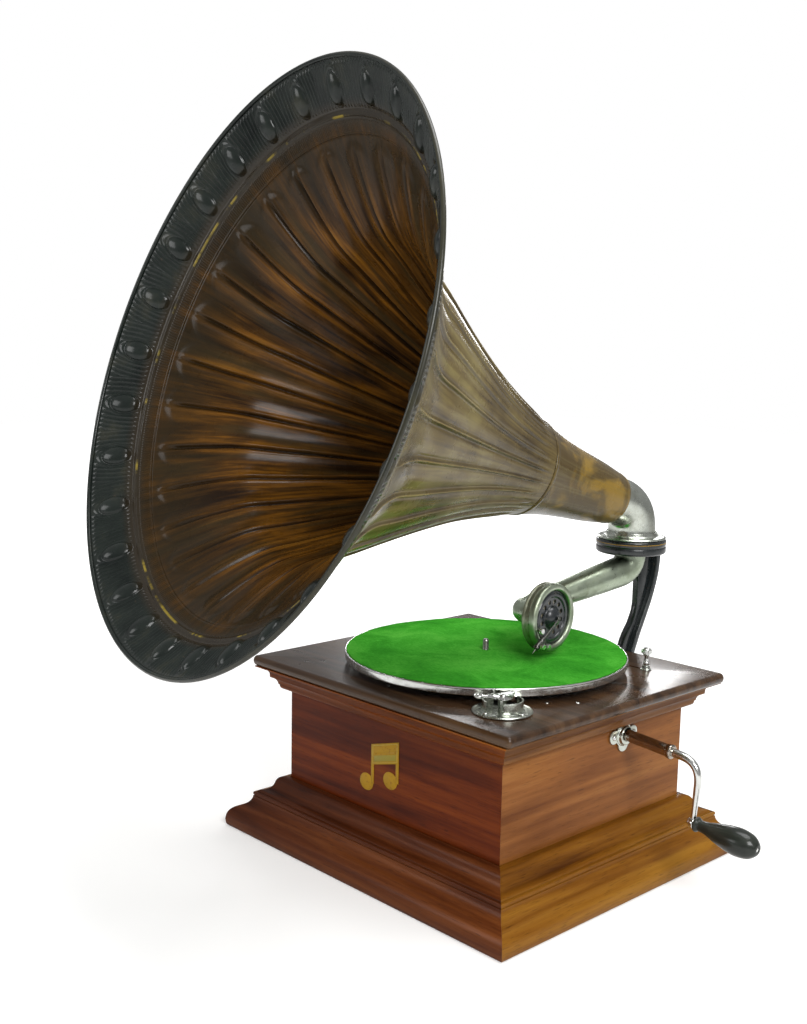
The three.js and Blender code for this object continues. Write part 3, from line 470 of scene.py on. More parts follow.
class Look(Nodes):
    """A procedural material."""

    def __init__(self, name):
        self.material = bpy.data.materials.new(name)
        self.material.use_nodes = True
        super().__init__(self.material.node_tree)
        self.shader = self.tree.nodes["Principled BSDF"]
        self.object = self.node("ShaderNodeTexCoord").outputs["Object"]

    def stretched(self, scale, turn=(0, 0, 0)):
        """Object coordinates scaled along each axis, for grain and scratches."""
        inputs = {"Vector": self.object, "Scale": scale, "Rotation": turn}
        return self.node("ShaderNodeMapping", inputs).outputs[0]

    def noise(self, scale, vector=None, detail=4.0, roughness=0.55, distortion=0.0):
        inputs = {"Vector": vector or self.object, "Scale": scale, "Detail": detail,
                  "Roughness": roughness, "Distortion": distortion}
        return self.node("ShaderNodeTexNoise", inputs).outputs["Fac"]

    def cells(self, scale):
        return self.node("ShaderNodeTexVoronoi", {"Vector": self.object, "Scale": scale}).outputs["Distance"]

    def attribute(self, name):
        return self.node("ShaderNodeAttribute", attribute_name=name).outputs["Fac"]

    def bump(self, height, depth, strength=1.0, normal=None):
        inputs = {"Height": height, "Distance": depth * MM, "Strength": strength, "Normal": normal}
        return self.node("ShaderNodeBump", inputs).outputs[0]

    def done(self, color, roughness, normal=None, **more):
        self.plug(self.shader.inputs["Base Color"], color)
        self.plug(self.shader.inputs["Roughness"], roughness)
        self.plug(self.shader.inputs["Normal"], normal)
        for key, value in more.items():
            self.plug(self.shader.inputs[key.replace("_", " ")], value)
        return self.material


def wood(name, grain, dark, middle, light, roughness=0.36, coat=0.12, figure=1.0):
    """Polished mahogany: long streaks, short dark pores and broad patches along the grain axis."""
    look = Look(name)
    stretch = [90, 90, 90]
    stretch["XYZ".index(grain)] = 4
    pores = [1500, 1500, 1500]
    pores["XYZ".index(grain)] = 60
    band = [14, 14, 14]
    band["XYZ".index(grain)] = 2.2
    streaks = look.noise(1, look.stretched(stretch), 6, 0.6, 0.25)
    patches = look.noise(1, look.stretched(band), 3, 0.5, 0.8)
    pore = look.between(look.noise(1, look.stretched(pores), 2, 0.5), 0.60, 0.72)
    tone = look.total(streaks, 0.55, patches, 0.5)
    color = look.ramp(tone, (0.36, dark), (0.52, middle), (0.68, light))
    color = look.mix(look.times(pore, 0.55 * figure), color, [c * 0.35 for c in dark])
    smear = look.noise(9, None, 5, 0.6)
    gloss = look.between(smear, 0.3, 0.75, roughness - 0.07, roughness + 0.12)
    fine = look.bump(look.math("SUBTRACT", streaks, pore), 0.12, 0.35)
    wavy = look.bump(look.noise(22, None, 2), 0.25, 0.25, fine)
    return look.done(color, gloss, wavy, Coat_Weight=coat, Coat_Roughness=0.2, Specular_IOR_Level=0.06)


def nickel(name, tint, worn, wear=0.5, roughness=0.2):
    """Old nickel plate: bright where it is whole, yellow-grey and duller where it has worn."""
    look = Look(name)
    patches = look.between(look.noise(38, None, 6, 0.62), 0.42, 0.70)
    spots = look.between(look.noise(260, None, 3, 0.6), 0.60, 0.72)
    amount = look.times(look.math("MAXIMUM", patches, spots), wear)
    color = look.mix(amount, tint, worn)
    rough = look.math("ADD", look.between(look.noise(120), 0.3, 0.7, roughness - 0.06, roughness + 0.1),
                      look.times(amount, 0.22))
    scratches = look.noise(1, look.stretched((900, 60, 900), (0.3, 0.2, 0.7)), 3)
    normal = look.bump(scratches, 0.03, 0.3, look.bump(look.noise(55, None, 3), 0.12, 0.3))
    return look.done(color, rough, normal, Metallic=1.0)


def metal(name, color, worn, roughness, grain=(700, 90, 700), bump=0.05, metallic=1.0):
    """Plain turned or cast metal with stains."""
    look = Look(name)
    stain = look.between(look.noise(45, None, 6, 0.65), 0.45, 0.72)
    lines = look.noise(1, look.stretched(grain), 3)
    rough = look.between(lines, 0.3, 0.7, roughness - 0.08, roughness + 0.12)
    normal = look.bump(lines, bump, 0.4)
    return look.done(look.mix(stain, color, worn), rough, normal, Metallic=metallic)


def black_casting(name, color, highlight, roughness):
    """Black japanning over a casting, lighter grey in random patches: rubbed wear together with a painted
    highlight colour.
    """
    look = Look(name)
    rub_and_highlight = look.between(look.noise(24, None, 6, 0.6), 0.50, 0.74)
    chips = look.between(look.noise(170, None, 4, 0.6), 0.66, 0.72)
    # Painted highlight and rubbed wear: random patches mixed towards the lighter highlight colour.
    base = look.mix(look.times(rub_and_highlight, 0.6), color, highlight)
    base = look.mix(look.times(chips, 0.7), base, (0.10, 0.075, 0.05))
    rough = look.between(look.noise(60), 0.3, 0.7, roughness - 0.1, roughness + 0.15)
    normal = look.bump(look.noise(130, None, 4), 0.15, 0.3, look.bump(chips, -0.08, 0.5))
    return look.done(base, rough, normal, Coat_Weight=0.4, Coat_Roughness=0.15)


def baize():
    """Green felt: matted fibres in two sizes, lighter where the nap is brushed."""
    look = Look("baize")
    mottle = look.noise(16, None, 5, 0.6, 0.6)
    nap = look.noise(1, look.stretched((260, 900, 600), (0, 0, 0.5)), 4, 0.7, 1.2)
    fibre = look.noise(1, look.stretched((1900, 500, 900), (0, 0, -0.4)), 4, 0.7, 1.5)
    tone = look.total(mottle, 0.55, nap, 0.45)
    color = look.ramp(tone, (0.38, (0.018, 0.18, 0.010)), (0.5, (0.045, 0.32, 0.022)),
                      (0.62, (0.100, 0.44, 0.048)))
    normal = look.bump(fibre, 0.5, 0.6, look.bump(nap, 0.7, 0.5))
    return look.done(color, 0.95, normal, Sheen_Weight=0.12, Sheen_Roughness=0.5,
                     Sheen_Tint=(0.2, 0.9, 0.15), Specular_IOR_Level=0)


def horn_noise(look, along_scale, around_scale, detail=6, distortion=0.4):
    """Noise laid out along the horn and round it, so that streaks follow the flutes."""
    station, angle = look.attribute("station"), look.attribute("angle")
    at = look.node("ShaderNodeCombineXYZ", {0: look.times(station, along_scale),
                                            1: look.times(angle, around_scale)}).outputs[0]
    return look.noise(1.0, at, detail, 0.62, distortion)


def horn_inside():
    """Wood-grained paint in the flutes, orange in the middle of each panel, with painted shade along the
    grooves and in the rounded steps at the panel ends, and darker towards the outer ends of the flutes; the
    rim is glossy green-black with a worn gold line."""
    look = Look("horn_inside")
    station, groove, middle = (look.attribute(n) for n in ("station", "edge", "middle"))
    streaks = horn_noise(look, 0.012, 30)
    patches = horn_noise(look, 0.009, 3.4, 4)
    tone = look.total(streaks, 0.5, patches, 0.5)
    tone = look.math("ADD", tone, look.between(middle, 0.1, 0.8, -0.05, 0.03))
    paint = look.ramp(tone, (0.38, (0.018, 0.008, 0.003)), (0.49, (0.085, 0.036, 0.006)),
                      (0.57, (0.20, 0.080, 0.009)), (0.70, (0.34, 0.15, 0.016)))
    olive = look.between(horn_noise(look, 0.006, 5, 3), 0.48, 0.66)
    paint = look.mix(look.times(olive, 0.6), paint, (0.050, 0.037, 0.015))
    # Painted shade in the grooves and the rounded steps at the panel ends.
    paint = look.mix(look.times(groove, 0.85), paint, (0.008, 0.005, 0.003))
    ends = look.between(station, 425, 478)
    paint = look.mix(look.times(ends, 0.78), paint, (0.022, 0.015, 0.006))
    rim_paint = look.ramp(look.noise(30, None, 6, 0.6), (0.3, (0.005, 0.008, 0.007)),
                          (0.55, (0.014, 0.019, 0.016)), (0.78, (0.036, 0.036, 0.024)))
    hollow = look.between(station, 506, 498)
    rim_paint = look.mix(look.times(hollow, 0.6), rim_paint, (0.036, 0.022, 0.010))
    line = look.times(look.between(station, GOLD_FROM, GOLD_FROM + 0.5),
                      look.between(station, GOLD_TO, GOLD_TO - 0.5))
    whole = look.between(horn_noise(look, 0.001, 6, 4), 0.50, 0.60)
    gold = look.times(line, look.times(whole, 0.75))
    rim_paint = look.mix(gold, rim_paint, (0.34, 0.25, 0.03))
    chips = look.between(look.noise(75, None, 5, 0.7), 0.69, 0.72)
    rim_paint = look.mix(look.times(chips, 0.35), rim_paint, (0.12, 0.085, 0.05))
    color = look.mix(look.between(station, 486, 495), paint, rim_paint)
    rough = look.between(look.noise(40), 0.3, 0.7, 0.22, 0.36)
    normal = look.bump(streaks, 0.12, 0.3, look.bump(look.noise(90, None, 4), 0.12, 0.25))
    return look.done(color, rough, normal, Specular_IOR_Level=0.1, Coat_Roughness=0.16,
                     Coat_Weight=look.between(station, 486, 500, 0.14, 0.45))


def horn_outside():
    """Olive-tan paint, streaked along the horn, yellow on the ribs as rubbed wear and painted highlight, with
    painted shade on the flanks beside the ribs; the neck is browner with a yellow worn patch, and the edge
    behind the rim is dark."""
    look = Look("horn_outside")
    station, groove, relief = (look.attribute(n) for n in ("station", "edge", "relief"))
    streaks = horn_noise(look, 0.010, 20)
    patches = look.noise(10, None, 4, 0.6, 0.3)
    tone = look.total(streaks, 0.5, patches, 0.5)
    paint = look.ramp(tone, (0.38, (0.045, 0.028, 0.007)), (0.50, (0.125, 0.088, 0.026)),
                      (0.60, (0.19, 0.15, 0.050)), (0.72, (0.27, 0.20, 0.060)))
    # Yellow on the highest relief: rubbed wear and a painted highlight on the ribs.
    paint = look.mix(look.between(relief, 0.6, 1.8), paint, (0.34, 0.25, 0.075))
    # Painted shade on the rib flanks, where the relief falls away beside a groove.
    flank_shade = look.times(groove, look.between(relief, 0.7, -0.3))
    paint = look.mix(look.times(flank_shade, 0.8), paint, (0.022, 0.015, 0.006))
    neck_patch = look.between(look.noise(17, None, 4, 0.6, 0.6), 0.50, 0.66)
    brown = look.mix(neck_patch, (0.070, 0.044, 0.012), (0.25, 0.15, 0.020))
    brown = look.mix(look.between(streaks, 0.45, 0.7, 0, 0.6), brown, (0.13, 0.105, 0.045))
    paint = look.mix(look.between(station, 178, 168, 0, 0.9), paint, brown)
    paint = look.mix(look.between(station, 486, 505, 0, 0.9), paint, (0.016, 0.019, 0.015))
    chips = look.between(look.noise(90, None, 5, 0.7), 0.69, 0.72)
    paint = look.mix(look.times(chips, 0.4), paint, (0.34, 0.25, 0.09))
    rough = look.between(look.noise(35), 0.3, 0.7, 0.22, 0.36)
    normal = look.bump(streaks, 0.1, 0.3, look.bump(look.noise(90, None, 4), 0.1, 0.25))
    return look.done(paint, rough, normal, Specular_IOR_Level=0.25, Coat_Weight=0.25, Coat_Roughness=0.2)


def gilding(name, gold, rubbed):
    """Gold paint, rubbed through in small spots."""
    look = Look(name)
    wear = look.between(look.noise(210, None, 5, 0.7), 0.52, 0.66)
    color = look.mix(look.times(wear, 0.55), gold, rubbed)
    normal = look.bump(look.noise(400, None, 3), 0.08, 0.4)
    return look.done(color, 0.42, normal, Metallic=0.15, Specular_IOR_Level=0.25)


def leather():
    look = Look("pad_leather")
    grain = look.cells(900)
    color = look.mix(look.noise(90), (0.10, 0.05, 0.025), (0.045, 0.022, 0.012))
    return look.done(color, 0.8, look.bump(grain, 0.15, 0.6))


def mica():
    look = Look("mica")
    flake = look.noise(140, None, 4, 0.6, 0.8)
    color = look.mix(flake, (0.62, 0.57, 0.44), (0.44, 0.37, 0.24))
    return look.done(color, 0.18, look.bump(flake, 0.05, 0.4), Coat_Weight=0.6)


def rubber():
    look = Look("rubber")
    dust = look.noise(160, None, 4, 0.6)
    color = look.mix(dust, (0.022, 0.018, 0.015), (0.06, 0.052, 0.044))
    return look.done(color, 0.85, look.bump(dust, 0.1, 0.5))


# One mahogany in two copies for each moulding: the front and back copies are painted darker (painted shade)
# and the end copies lighter (painted light), as the key lamp falls from the right.
WOOD_FRONT_SHADE = wood("mahogany_front_painted_shade", "X",
                  (0.034, 0.004, 0.001), (0.106, 0.017, 0.002), (0.20, 0.040, 0.004))
WOOD_SIDE_LIGHT = wood("mahogany_side_painted_light", "Y",
                 (0.135, 0.042, 0.009), (0.25, 0.092, 0.022), (0.36, 0.155, 0.042))
PLINTH_FRONT_SHADE = wood("plinth_wood_front_painted_shade", "X",
                    (0.022, 0.005, 0.002), (0.078, 0.019, 0.005), (0.17, 0.050, 0.012))
PLINTH_SIDE_LIGHT = wood("plinth_wood_side_painted_light", "Y",
                   (0.070, 0.021, 0.002), (0.185, 0.068, 0.006), (0.29, 0.130, 0.014))
CORNICE_FRONT_SHADE = wood("cornice_wood_front_painted_shade", "X",
                     (0.065, 0.014, 0.002), (0.19, 0.046, 0.006), (0.34, 0.105, 0.014))
CORNICE_SIDE_LIGHT = wood("cornice_wood_side_painted_light", "Y",
                    (0.085, 0.030, 0.010), (0.19, 0.080, 0.024), (0.30, 0.14, 0.045))
BOARD_WOOD = wood("board_wood", "X",
                  (0.016, 0.008, 0.004), (0.052, 0.026, 0.012), (0.11, 0.058, 0.026),
                  roughness=0.3, coat=0.6)
PINE = wood("pine", "Y", (0.30, 0.17, 0.07), (0.42, 0.27, 0.13), (0.52, 0.36, 0.20),
            roughness=0.6, coat=0.0, figure=0.4)
EBONISED = wood("ebonised", "X", (0.010, 0.012, 0.010), (0.022, 0.026, 0.021), (0.045, 0.050, 0.040),
                roughness=0.3, coat=0.6, figure=0.3)
NICKEL = nickel("nickel", (0.58, 0.61, 0.55), (0.26, 0.25, 0.19))
NICKEL_BRIGHT = nickel("nickel_bright", (0.76, 0.77, 0.75), (0.38, 0.37, 0.32), 0.35, 0.14)
NICKEL_GREEN = nickel("nickel_green", (0.42, 0.48, 0.37), (0.22, 0.25, 0.16), 0.6, 0.3)
NICKEL_DULL = nickel("nickel_dull", (0.36, 0.38, 0.29), (0.15, 0.15, 0.09), 0.8, 0.34)
CRANK_NICKEL = nickel("crank_nickel", (0.40, 0.36, 0.31), (0.22, 0.15, 0.10), 0.3, 0.13)
TARNISHED = nickel("tarnished_nickel", (0.13, 0.13, 0.12), (0.05, 0.05, 0.04), 0.6, 0.25)
STEEL = metal("steel", (0.42, 0.41, 0.40), (0.22, 0.19, 0.16), 0.32)
BRASS = metal("brass", (0.62, 0.42, 0.14), (0.30, 0.19, 0.07), 0.34)
MOTOR_IRON = metal("motor_iron", (0.08, 0.085, 0.085), (0.05, 0.035, 0.025), 0.6,
                   grain=(200, 200, 200), bump=0.3, metallic=0.6)
BLACK_WEB = black_casting("black_web", (0.006, 0.009, 0.010), (0.018, 0.022, 0.023), 0.18)
# The flange's black is a lighter copy of the web's: painted light, for the side of the casting that catches
# the key lamp.
BLACK_FLANGE_LIGHT = black_casting("black_flange_painted_light", (0.016, 0.020, 0.021), (0.050, 0.057, 0.056), 0.3)
ENAMEL = black_casting("enamel", (0.012, 0.015, 0.018), (0.030, 0.036, 0.042), 0.2)
BAIZE = baize()
GILT = gilding("gilt", (0.40, 0.22, 0.006), (0.22, 0.090, 0.010))
GILT_PALE = gilding("gilt_pale", (0.46, 0.34, 0.055), (0.26, 0.15, 0.02))
GILT_GREEN = gilding("gilt_green", (0.30, 0.24, 0.035), (0.40, 0.27, 0.03))
LEATHER = leather()
MICA = mica()
RUBBER = rubber()
HORN_INSIDE = horn_inside()
HORN_OUTSIDE = horn_outside()

# ---------------------------------------------------------------- cabinet

MITRE_GAP = 0.05
SIDES = [("front", BODY_X, BODY_Y, 0), ("right", BODY_Y, BODY_X, 90),
         ("back", BODY_X, BODY_Y, 180), ("left", BODY_Y, BODY_X, 270)]


def rail(profile, half_length, distance, turn):
    """A mitred length of a moulding: the profile is (reach out from the body's face, height)."""
    loops = []
    for end in (-1.0, 1.0):
        loops.append([(end * (half_length + reach - MITRE_GAP), -reach - distance, height)
                      for reach, height in profile])
    return placed(loft(loops), Matrix.Rotation(math.radians(turn), 4, "Z"))


def plinth_profile():
    """A crease at the wall, a small ogee, a grooved step, a wide cove and a heavy rounded foot."""
    top, reach, base = PLINTH_TOP, 52.5, 27.3
    return [
        (0.1, top), (0.3, top - 1.6), (1.2, top - 1.6), (1.4, top),
        *bow((5.5, top), (10.6, top - 0.6), (12.4, top - 5.6)),
        *bow((12.4, top - 5.6), (14.5, top - 14.6), (21, 42.4)),
        *bow((21, 42.4), (25.6, 42), (26.6, 40.4)),
        (26.8, 38.8), (27.8, 38.6), (28, 39.8), (29.6, 39.6), (30.1, 38.6), (30.2, 36.6),
        (29.4, 36.2), (29.4, 35.2), (30.3, 35),
        *bow((30.4, 33), (32.5, 26.2), (40, 23.4)),
        *bow((40, 23.4), (51, 20), (52.3, 9)), (reach, 7), (reach - 0.6, 2), (reach - 1.6, 0.1),
        (base, 0.1), (base, 16), (0.1, 36),
    ]


def cornice_profile():
    """A bead against the body, a fillet, a cove, a second fillet and a cove up to the board."""
    top = BOARD_LOW.z - 0.1
    bottom = size("cornice_front")[0].z
    return [
        (0.1, top), (0.1, bottom), (5.2, bottom), *bow((6, bottom), (9.4, bottom + 0.4), (9.5, 163.2)),
        (9.6, 163.9), (10.6, 164.2), *bow((10.6, 164.4), (11.4, 170.4), (16.6, 171.4)),
        (17.2, 171.8), (17.5, 176.2), *bow((17.6, 176.6), (20, 182.2), (28.4, 183)), (29, 183.3), (29, top),
    ]


def make_cabinet():
    """Four mitred sides, each a panel with a plinth moulding below it and a cornice above it."""
    # The front and back take the wood copies painted in shade, the two ends the copies painted in light.
    front_back = {"panel": WOOD_FRONT_SHADE, "plinth": PLINTH_FRONT_SHADE, "cornice": CORNICE_FRONT_SHADE}
    ends = {"panel": WOOD_SIDE_LIGHT, "plinth": PLINTH_SIDE_LIGHT, "cornice": CORNICE_SIDE_LIGHT}
    panel = [(-PANEL, PANEL_BOTTOM), (0, PANEL_BOTTOM), (0, PANEL_TOP), (-PANEL, PANEL_TOP)]
    shaft_hole = rod(8.2, -30, 30, RIGHT, CRANK, 48, 0.25)
    notch = block((BODY_X - 1, CRANK.y - 11, 157), (BODY_X + 3, CRANK.y + 11, 166))
    for side, half_length, distance, turn in SIDES:
        looks = front_back if side in ("front", "back") else ends
        place = (half_length, distance, turn)
        right = side == "right"
        piece(f"{side}_panel_board", rail(panel, *place), looks["panel"], "cabinet",
              [f"{side}_panel"], cuts=[shaft_hole] if right else ())
        piece(f"{side}_plinth_moulding", rail(plinth_profile(), *place), looks["plinth"], "cabinet",
              [f"plinth_{side}"], crease=28)
        piece(f"{side}_cornice_moulding", rail(cornice_profile(), *place), looks["cornice"], "cabinet",
              [f"cornice_{side}"], cuts=[notch] if right else (), crease=28)
    frame["nodes"]["base_board"].data.materials.clear()
    frame["nodes"]["base_board"].data.materials.append(PINE)


def rounded_rectangle(half_x, half_y, radius):
    points = []
    count = 6
    for quarter, (x, y) in enumerate([(1, 1), (-1, 1), (-1, -1), (1, -1)]):
        for k in range(count + 1):
            angle = TAU * (quarter + k / count) / 4
            points.append((x * (half_x - radius) + radius * math.cos(angle),
                           y * (half_y - radius) + radius * math.sin(angle)))
    return points


def make_top_board():
    """A board with a rounded nose all round, a slot for the speed lever and three small screws."""
    outline = rounded_rectangle(BOARD_HIGH.x, BOARD_HIGH.y, 5)
    middle = (BOARD_LOW.z + DECK) / 2
    half = (DECK - BOARD_LOW.z) / 2
    loops = []
    for angle in np.linspace(-90, 90, 13):
        back = 4.6 * (1 - math.cos(math.radians(angle)))
        flat = inset(outline, back)
        height = middle + half * math.sin(math.radians(angle))
        loops.append(np.column_stack([flat, np.full(len(flat), height)]))
    slot = rounded([(-9, -1.8), (9, -1.8), (9, 1.8), (-9, 1.8)], 1.6, closed=True)
    slot = [(x + REGULATOR.x - 13, y + REGULATOR.y) for x, y in slot]
    hole = rod(6, 170, 210, UP, (0, 0, 0), 32, 0.25)
    bush = rod(2.6, 170, 210, UP, (REGULATOR.x, REGULATOR.y, 0), 24, 0.25)
    piece("top_board_panel", loft(loops), BOARD_WOOD, "cabinet", ["top_board"],
          cuts=[prism(slot, 170, 210, 0.05), hole, bush], crease=40)
    for number, (x, y) in enumerate(DECK_SCREWS):
        screw_head(f"deck_screw_{number + 1}", (x, y, DECK), UP, 2.1, 0.9, NICKEL_BRIGHT,
                   "cabinet", turn=0.7 * number)


def screw_head(name, place, direction, radius, height, material, body, nodes=(), turn=0.5):
    """A domed, slotted head with a short shank in its hole."""
    profile = [(0, -6), (radius * 0.4, -6), (radius * 0.42, 0.02), (radius, 0.02), (radius, height * 0.3),
               (radius * 0.86, height * 0.66), (radius * 0.5, height * 0.94), (0, height)]
    matrix = along(direction, place) @ Matrix.Rotation(turn, 4, "Z")
    reach, half_width = radius * 1.2, radius * 0.11
    groove = placed(block((-reach, -half_width, height * 0.5), (reach, half_width, height * 2)), matrix)
    piece(name, placed(lathe(profile, 40), matrix), material, body, nodes, cuts=[groove])


def make_ornament():
    """Gilt pair of notes under a broad beam that rises to the right, with a slit and border lines."""
    place = along(FRONT, (-42, -BODY_Y, 76), RIGHT)
    left, right, stem_half_width, stem_length = 18.3, 59.5, 2.1, 30

    def head(x, y):
        angles = np.linspace(0, TAU, 48, endpoint=False)
        return [(x + 10.2 * math.cos(a), y + 9.1 * math.sin(a)) for a in angles]

    def height(x, share):
        """Height on the beam, from its lower edge at 0 to its upper edge at 1."""
        across = (x - left) / (right - left)
        return 32 + 11.5 * across + (22 + 0.5 * across) * share

    def strip(start, end, low, high):
        corners = ((start, low), (end, low), (end, high), (start, high))
        return [(x, height(x, share)) for x, share in corners]

    def stem(x, low):
        return rectangle(x - stem_half_width, x + stem_half_width, low, low + stem_length)

    notes = head(11.5, 12.1), head(47.2, 22.4), stem(20.4, 12), stem(57.4, 22)
    plates = [prism(shape, 0.06, 0.46 + 0.02 * i, 0.12) for i, shape in enumerate(notes)]
    beam = prism(strip(left, right, 0, 1), 0.04, 0.6, 0.15)
    slit = prism(strip(24, 53, 0.50, 0.565), 0.3, 2, 0.02)
    borders = [strip(20.5, 57.5, 0.06, 0.09), strip(20.5, 57.5, 0.91, 0.94),
               strip(20.5, 21.4, 0.06, 0.94), strip(56.6, 57.5, 0.06, 0.94)]
    lines = [prism(border, 0.5, 0.74 + 0.01 * i, 0.08) for i, border in enumerate(borders)]
    inlay = prism(strip(22.5, 55.5, 0.14, 0.43), 0.5, 0.70, 0.1)
    piece("notes_ornament", placed(beam, place), GILT, "cabinet", ["front_ornament"],
          cuts=[placed(slit, place)])
    piece("notes_ornament_heads", [placed(part, place) for part in plates], GILT, "cabinet")
    piece("notes_ornament_border", [placed(part, place) for part in lines], GILT_PALE, "cabinet")
    piece("notes_ornament_inlay", placed(inlay, place), GILT_GREEN, "cabinet")


# ---------------------------------------------------------------- turntable


def pinion_outline(root, tip, turn=0.0):
    """An eight-toothed pinion with straight-sided teeth."""
    teeth = 8
    outline = []
    for k in range(teeth):
        for radius, offset in ((root, -0.25), (tip, -0.1), (tip, 0.1), (root, 0.25)):
            angle = TAU * (k + offset + 0.5) / teeth + turn
            outline.append((radius * math.cos(angle), radius * math.sin(angle)))
    return outline


def make_turntable():
    """The nickelled platter with its turned-down rim, the baize and the spindle with its pinion."""
    rim, top = RIM_RADIUS, size("turntable")[1].z
    low = size("turntable")[0].z + 3
    profile = [(3.7, 200.2), (14, 200.2), (14, 208.4), (rim - 3, 208.4), (rim - 2.4, low),
               (rim - 1.2, low), (rim - 0.2, low + 0.6), (rim - 0.2, 209.4), (rim, 210.4),
               (rim - 0.4, top - 0.1), (rim - 1.2, top - 0.2), (rim - 1.9, 210.5), (3.7, 210.5)]
    piece("turntable_plate", lathe(rounded(profile, 0.4, closed=True, steps=3), 240),
          NICKEL_BRIGHT, "turntable", ["turntable"])
    make_felt()
    pinion = pinion_outline(5.8, 9.5, math.atan2(37.5, 7.2))
    shaft = [(0, 98), (2.5, 98), (2.5, 101), (4, 102), (4, 198), (3.3, 199), (3.3, SPINDLE_TOP - 2.4),
             (2.9, SPINDLE_TOP - 1.1), (1.9, SPINDLE_TOP - 0.25), (0, SPINDLE_TOP)]
    piece("spindle_shaft", [lathe(shaft, 48), prism(pinion, 154, 164, 0.2)], STEEL, "turntable",
          ["spindle"])


FELT_WAVES = [(0.11, 0.06, 0.14), (-0.07, 0.13, 0.12), (0.31, 0.22, 0.06), (0.9, -0.5, 0.035),
              (-0.7, 1.1, 0.035)]


def felt_lift(x, y):
    """How far the nap stands above or below the mat's top: a few crossing waves."""
    lift = np.zeros(len(x))
    for wave, (along_x, along_y, height) in enumerate(FELT_WAVES):
        lift += height * np.sin(along_x * x + along_y * y + wave * 1.7)
    return lift - 0.15


def make_felt():
    """The baize: a soft mat, a little uneven on top, with a rounded and slightly ragged edge."""
    base = size("felt_mat")[0].z
    hole, edge = 4.3, FELT_RADIUS
    angles = np.linspace(0, TAU, 540, endpoint=False)
    ragged = 0.22 * np.sin(angles * 37 + 1) + 0.18 * np.sin(angles * 83 + 2) + 0.12 * np.sin(angles * 151)
    levels = [(hole, base), (edge - 0.9, base), (edge - 0.2, base + 0.5), (edge, base + 0.9),
              (edge - 0.4, FELT_TOP - 0.25)]
    levels += [(radius, FELT_TOP) for radius in np.linspace(edge - 1.2, hole + 0.3, 90)]
    levels += [(hole, FELT_TOP - 0.4)]
    loops = []
    for radius, height in levels:
        out = radius + (ragged if radius > edge - 1 else 0)
        x, y = np.cos(angles) * out, np.sin(angles) * out
        lift = felt_lift(x, y) if height > FELT_TOP - 0.5 else 0
        loops.append(np.column_stack([x, y, np.full(len(x), height) + lift]))
    piece("baize_mat", loft(loops, ring=True), BAIZE, "turntable", ["felt_mat"], crease=80)


# ---------------------------------------------------------------- horn

HORN_SAMPLES = curve(HORN_POINTS, 60)


def horn_radius(station):
    return np.interp(station, HORN_SAMPLES[:, 0], HORN_SAMPLES[:, 1])


def ease(low, high, value):
    share = np.clip((value - low) / (high - low), 0, 1)
    return share * share * (3 - 2 * share)


def phase(angle, count, start):
    """Distance round to the nearest of count equal marks, in shares of the space between two."""
    turns = (angle - start) * count / TAU
    return turns - np.round(turns)


def flute_relief(station, angle):
    """Narrow ribs pressed outwards with a lip on each side, between panels that bow inwards and end
    in a rounded step. Gives the relief, how near a groove or a rounded step is (where the paint lays painted
    shade), and the place across the panel."""
    radius = horn_radius(station)
    share = np.abs(phase(angle, RIBS, RIB_AT))
    spacing = TAU * radius / RIBS
    away = share * spacing
    middle = 1 - 2 * share
    arch = 481 - 0.40 * spacing * (1 - np.sqrt(np.clip(1 - (1 - middle) ** 2, 0, 1)))
    panel = ease(0, 5, arch - station)
    start = ease(HORN_SEAM + 6, HORN_SEAM + 34, station)
    rib_end = 1 - ease(464, 484, station)
    width = 0.8 + 0.0058 * radius
    rib = (0.7 + 0.0115 * radius) * np.exp(-((away / width) ** 2)) * rib_end
    lip = (0.2 + 0.0042 * radius) * np.exp(-(((away - 2.2 * width) / (0.8 * width)) ** 2)) * rib_end
    bow_in = (0.2 + 0.034 * spacing * ease(0.05, 0.8, middle)) * panel
    groove = np.exp(-((away / (1.5 * width)) ** 2)) * rib_end
    step = 0.55 * np.exp(-(((arch - station - 1) / 3) ** 2))
    return start * (rib - lip - bow_in), np.maximum(groove, step) * start, middle


def rim_relief(station, angle):
    """From the flutes outwards: a reeded ring, a bead, a plain hollow, then oval bosses with fine curved
    lines round them up to a plain lip. Inwards is negative."""
    radius = horn_radius(station)
    ring = ease(485.4, 486, station) * (1 - ease(492, 492.6, station))
    out = -ring * (0.25 + 0.35 * np.cos(angle * REEDS))
    out = out - 0.8 * np.exp(-(((station - 495) / 0.7) ** 2))
    out = out - 0.4 * np.exp(-(((station - 484.6) / 0.5) ** 2))
    out = out + 1.6 * np.exp(-(((radius - 248.5) / 4.5) ** 2)) * ease(496, 498, station)
    tangential = phase(angle, BOSSES, BOSS_AT) * TAU * radius / BOSSES
    across = radius - BOSS_RING
    oval = np.sqrt((tangential / 10.5) ** 2 + (across / 13) ** 2)
    boss = 6.0 * np.sqrt(np.clip(1 - oval**2, 0, 1)) + 0.7 * np.exp(-(((oval - 1.15) / 0.11) ** 2))
    band = ease(EMBOSSED_FROM, EMBOSSED_FROM + 4, radius) * (1 - ease(EMBOSSED_TO - 4, EMBOSSED_TO, radius))
    spread = np.sqrt(tangential**2 + (0.42 * (across - 1.5)) ** 2)
    lines = 1.3 * (0.5 + 0.5 * np.cos(TAU * (spread - 10) / 4.8)) ** 1.5 * ease(1.1, 1.3, oval)
    middle = np.full_like(radius, 0.5)
    return out - (boss + lines) * band, ease(1.0, 1.2, oval) * (1 - ease(1.2, 1.4, oval)) * band, middle


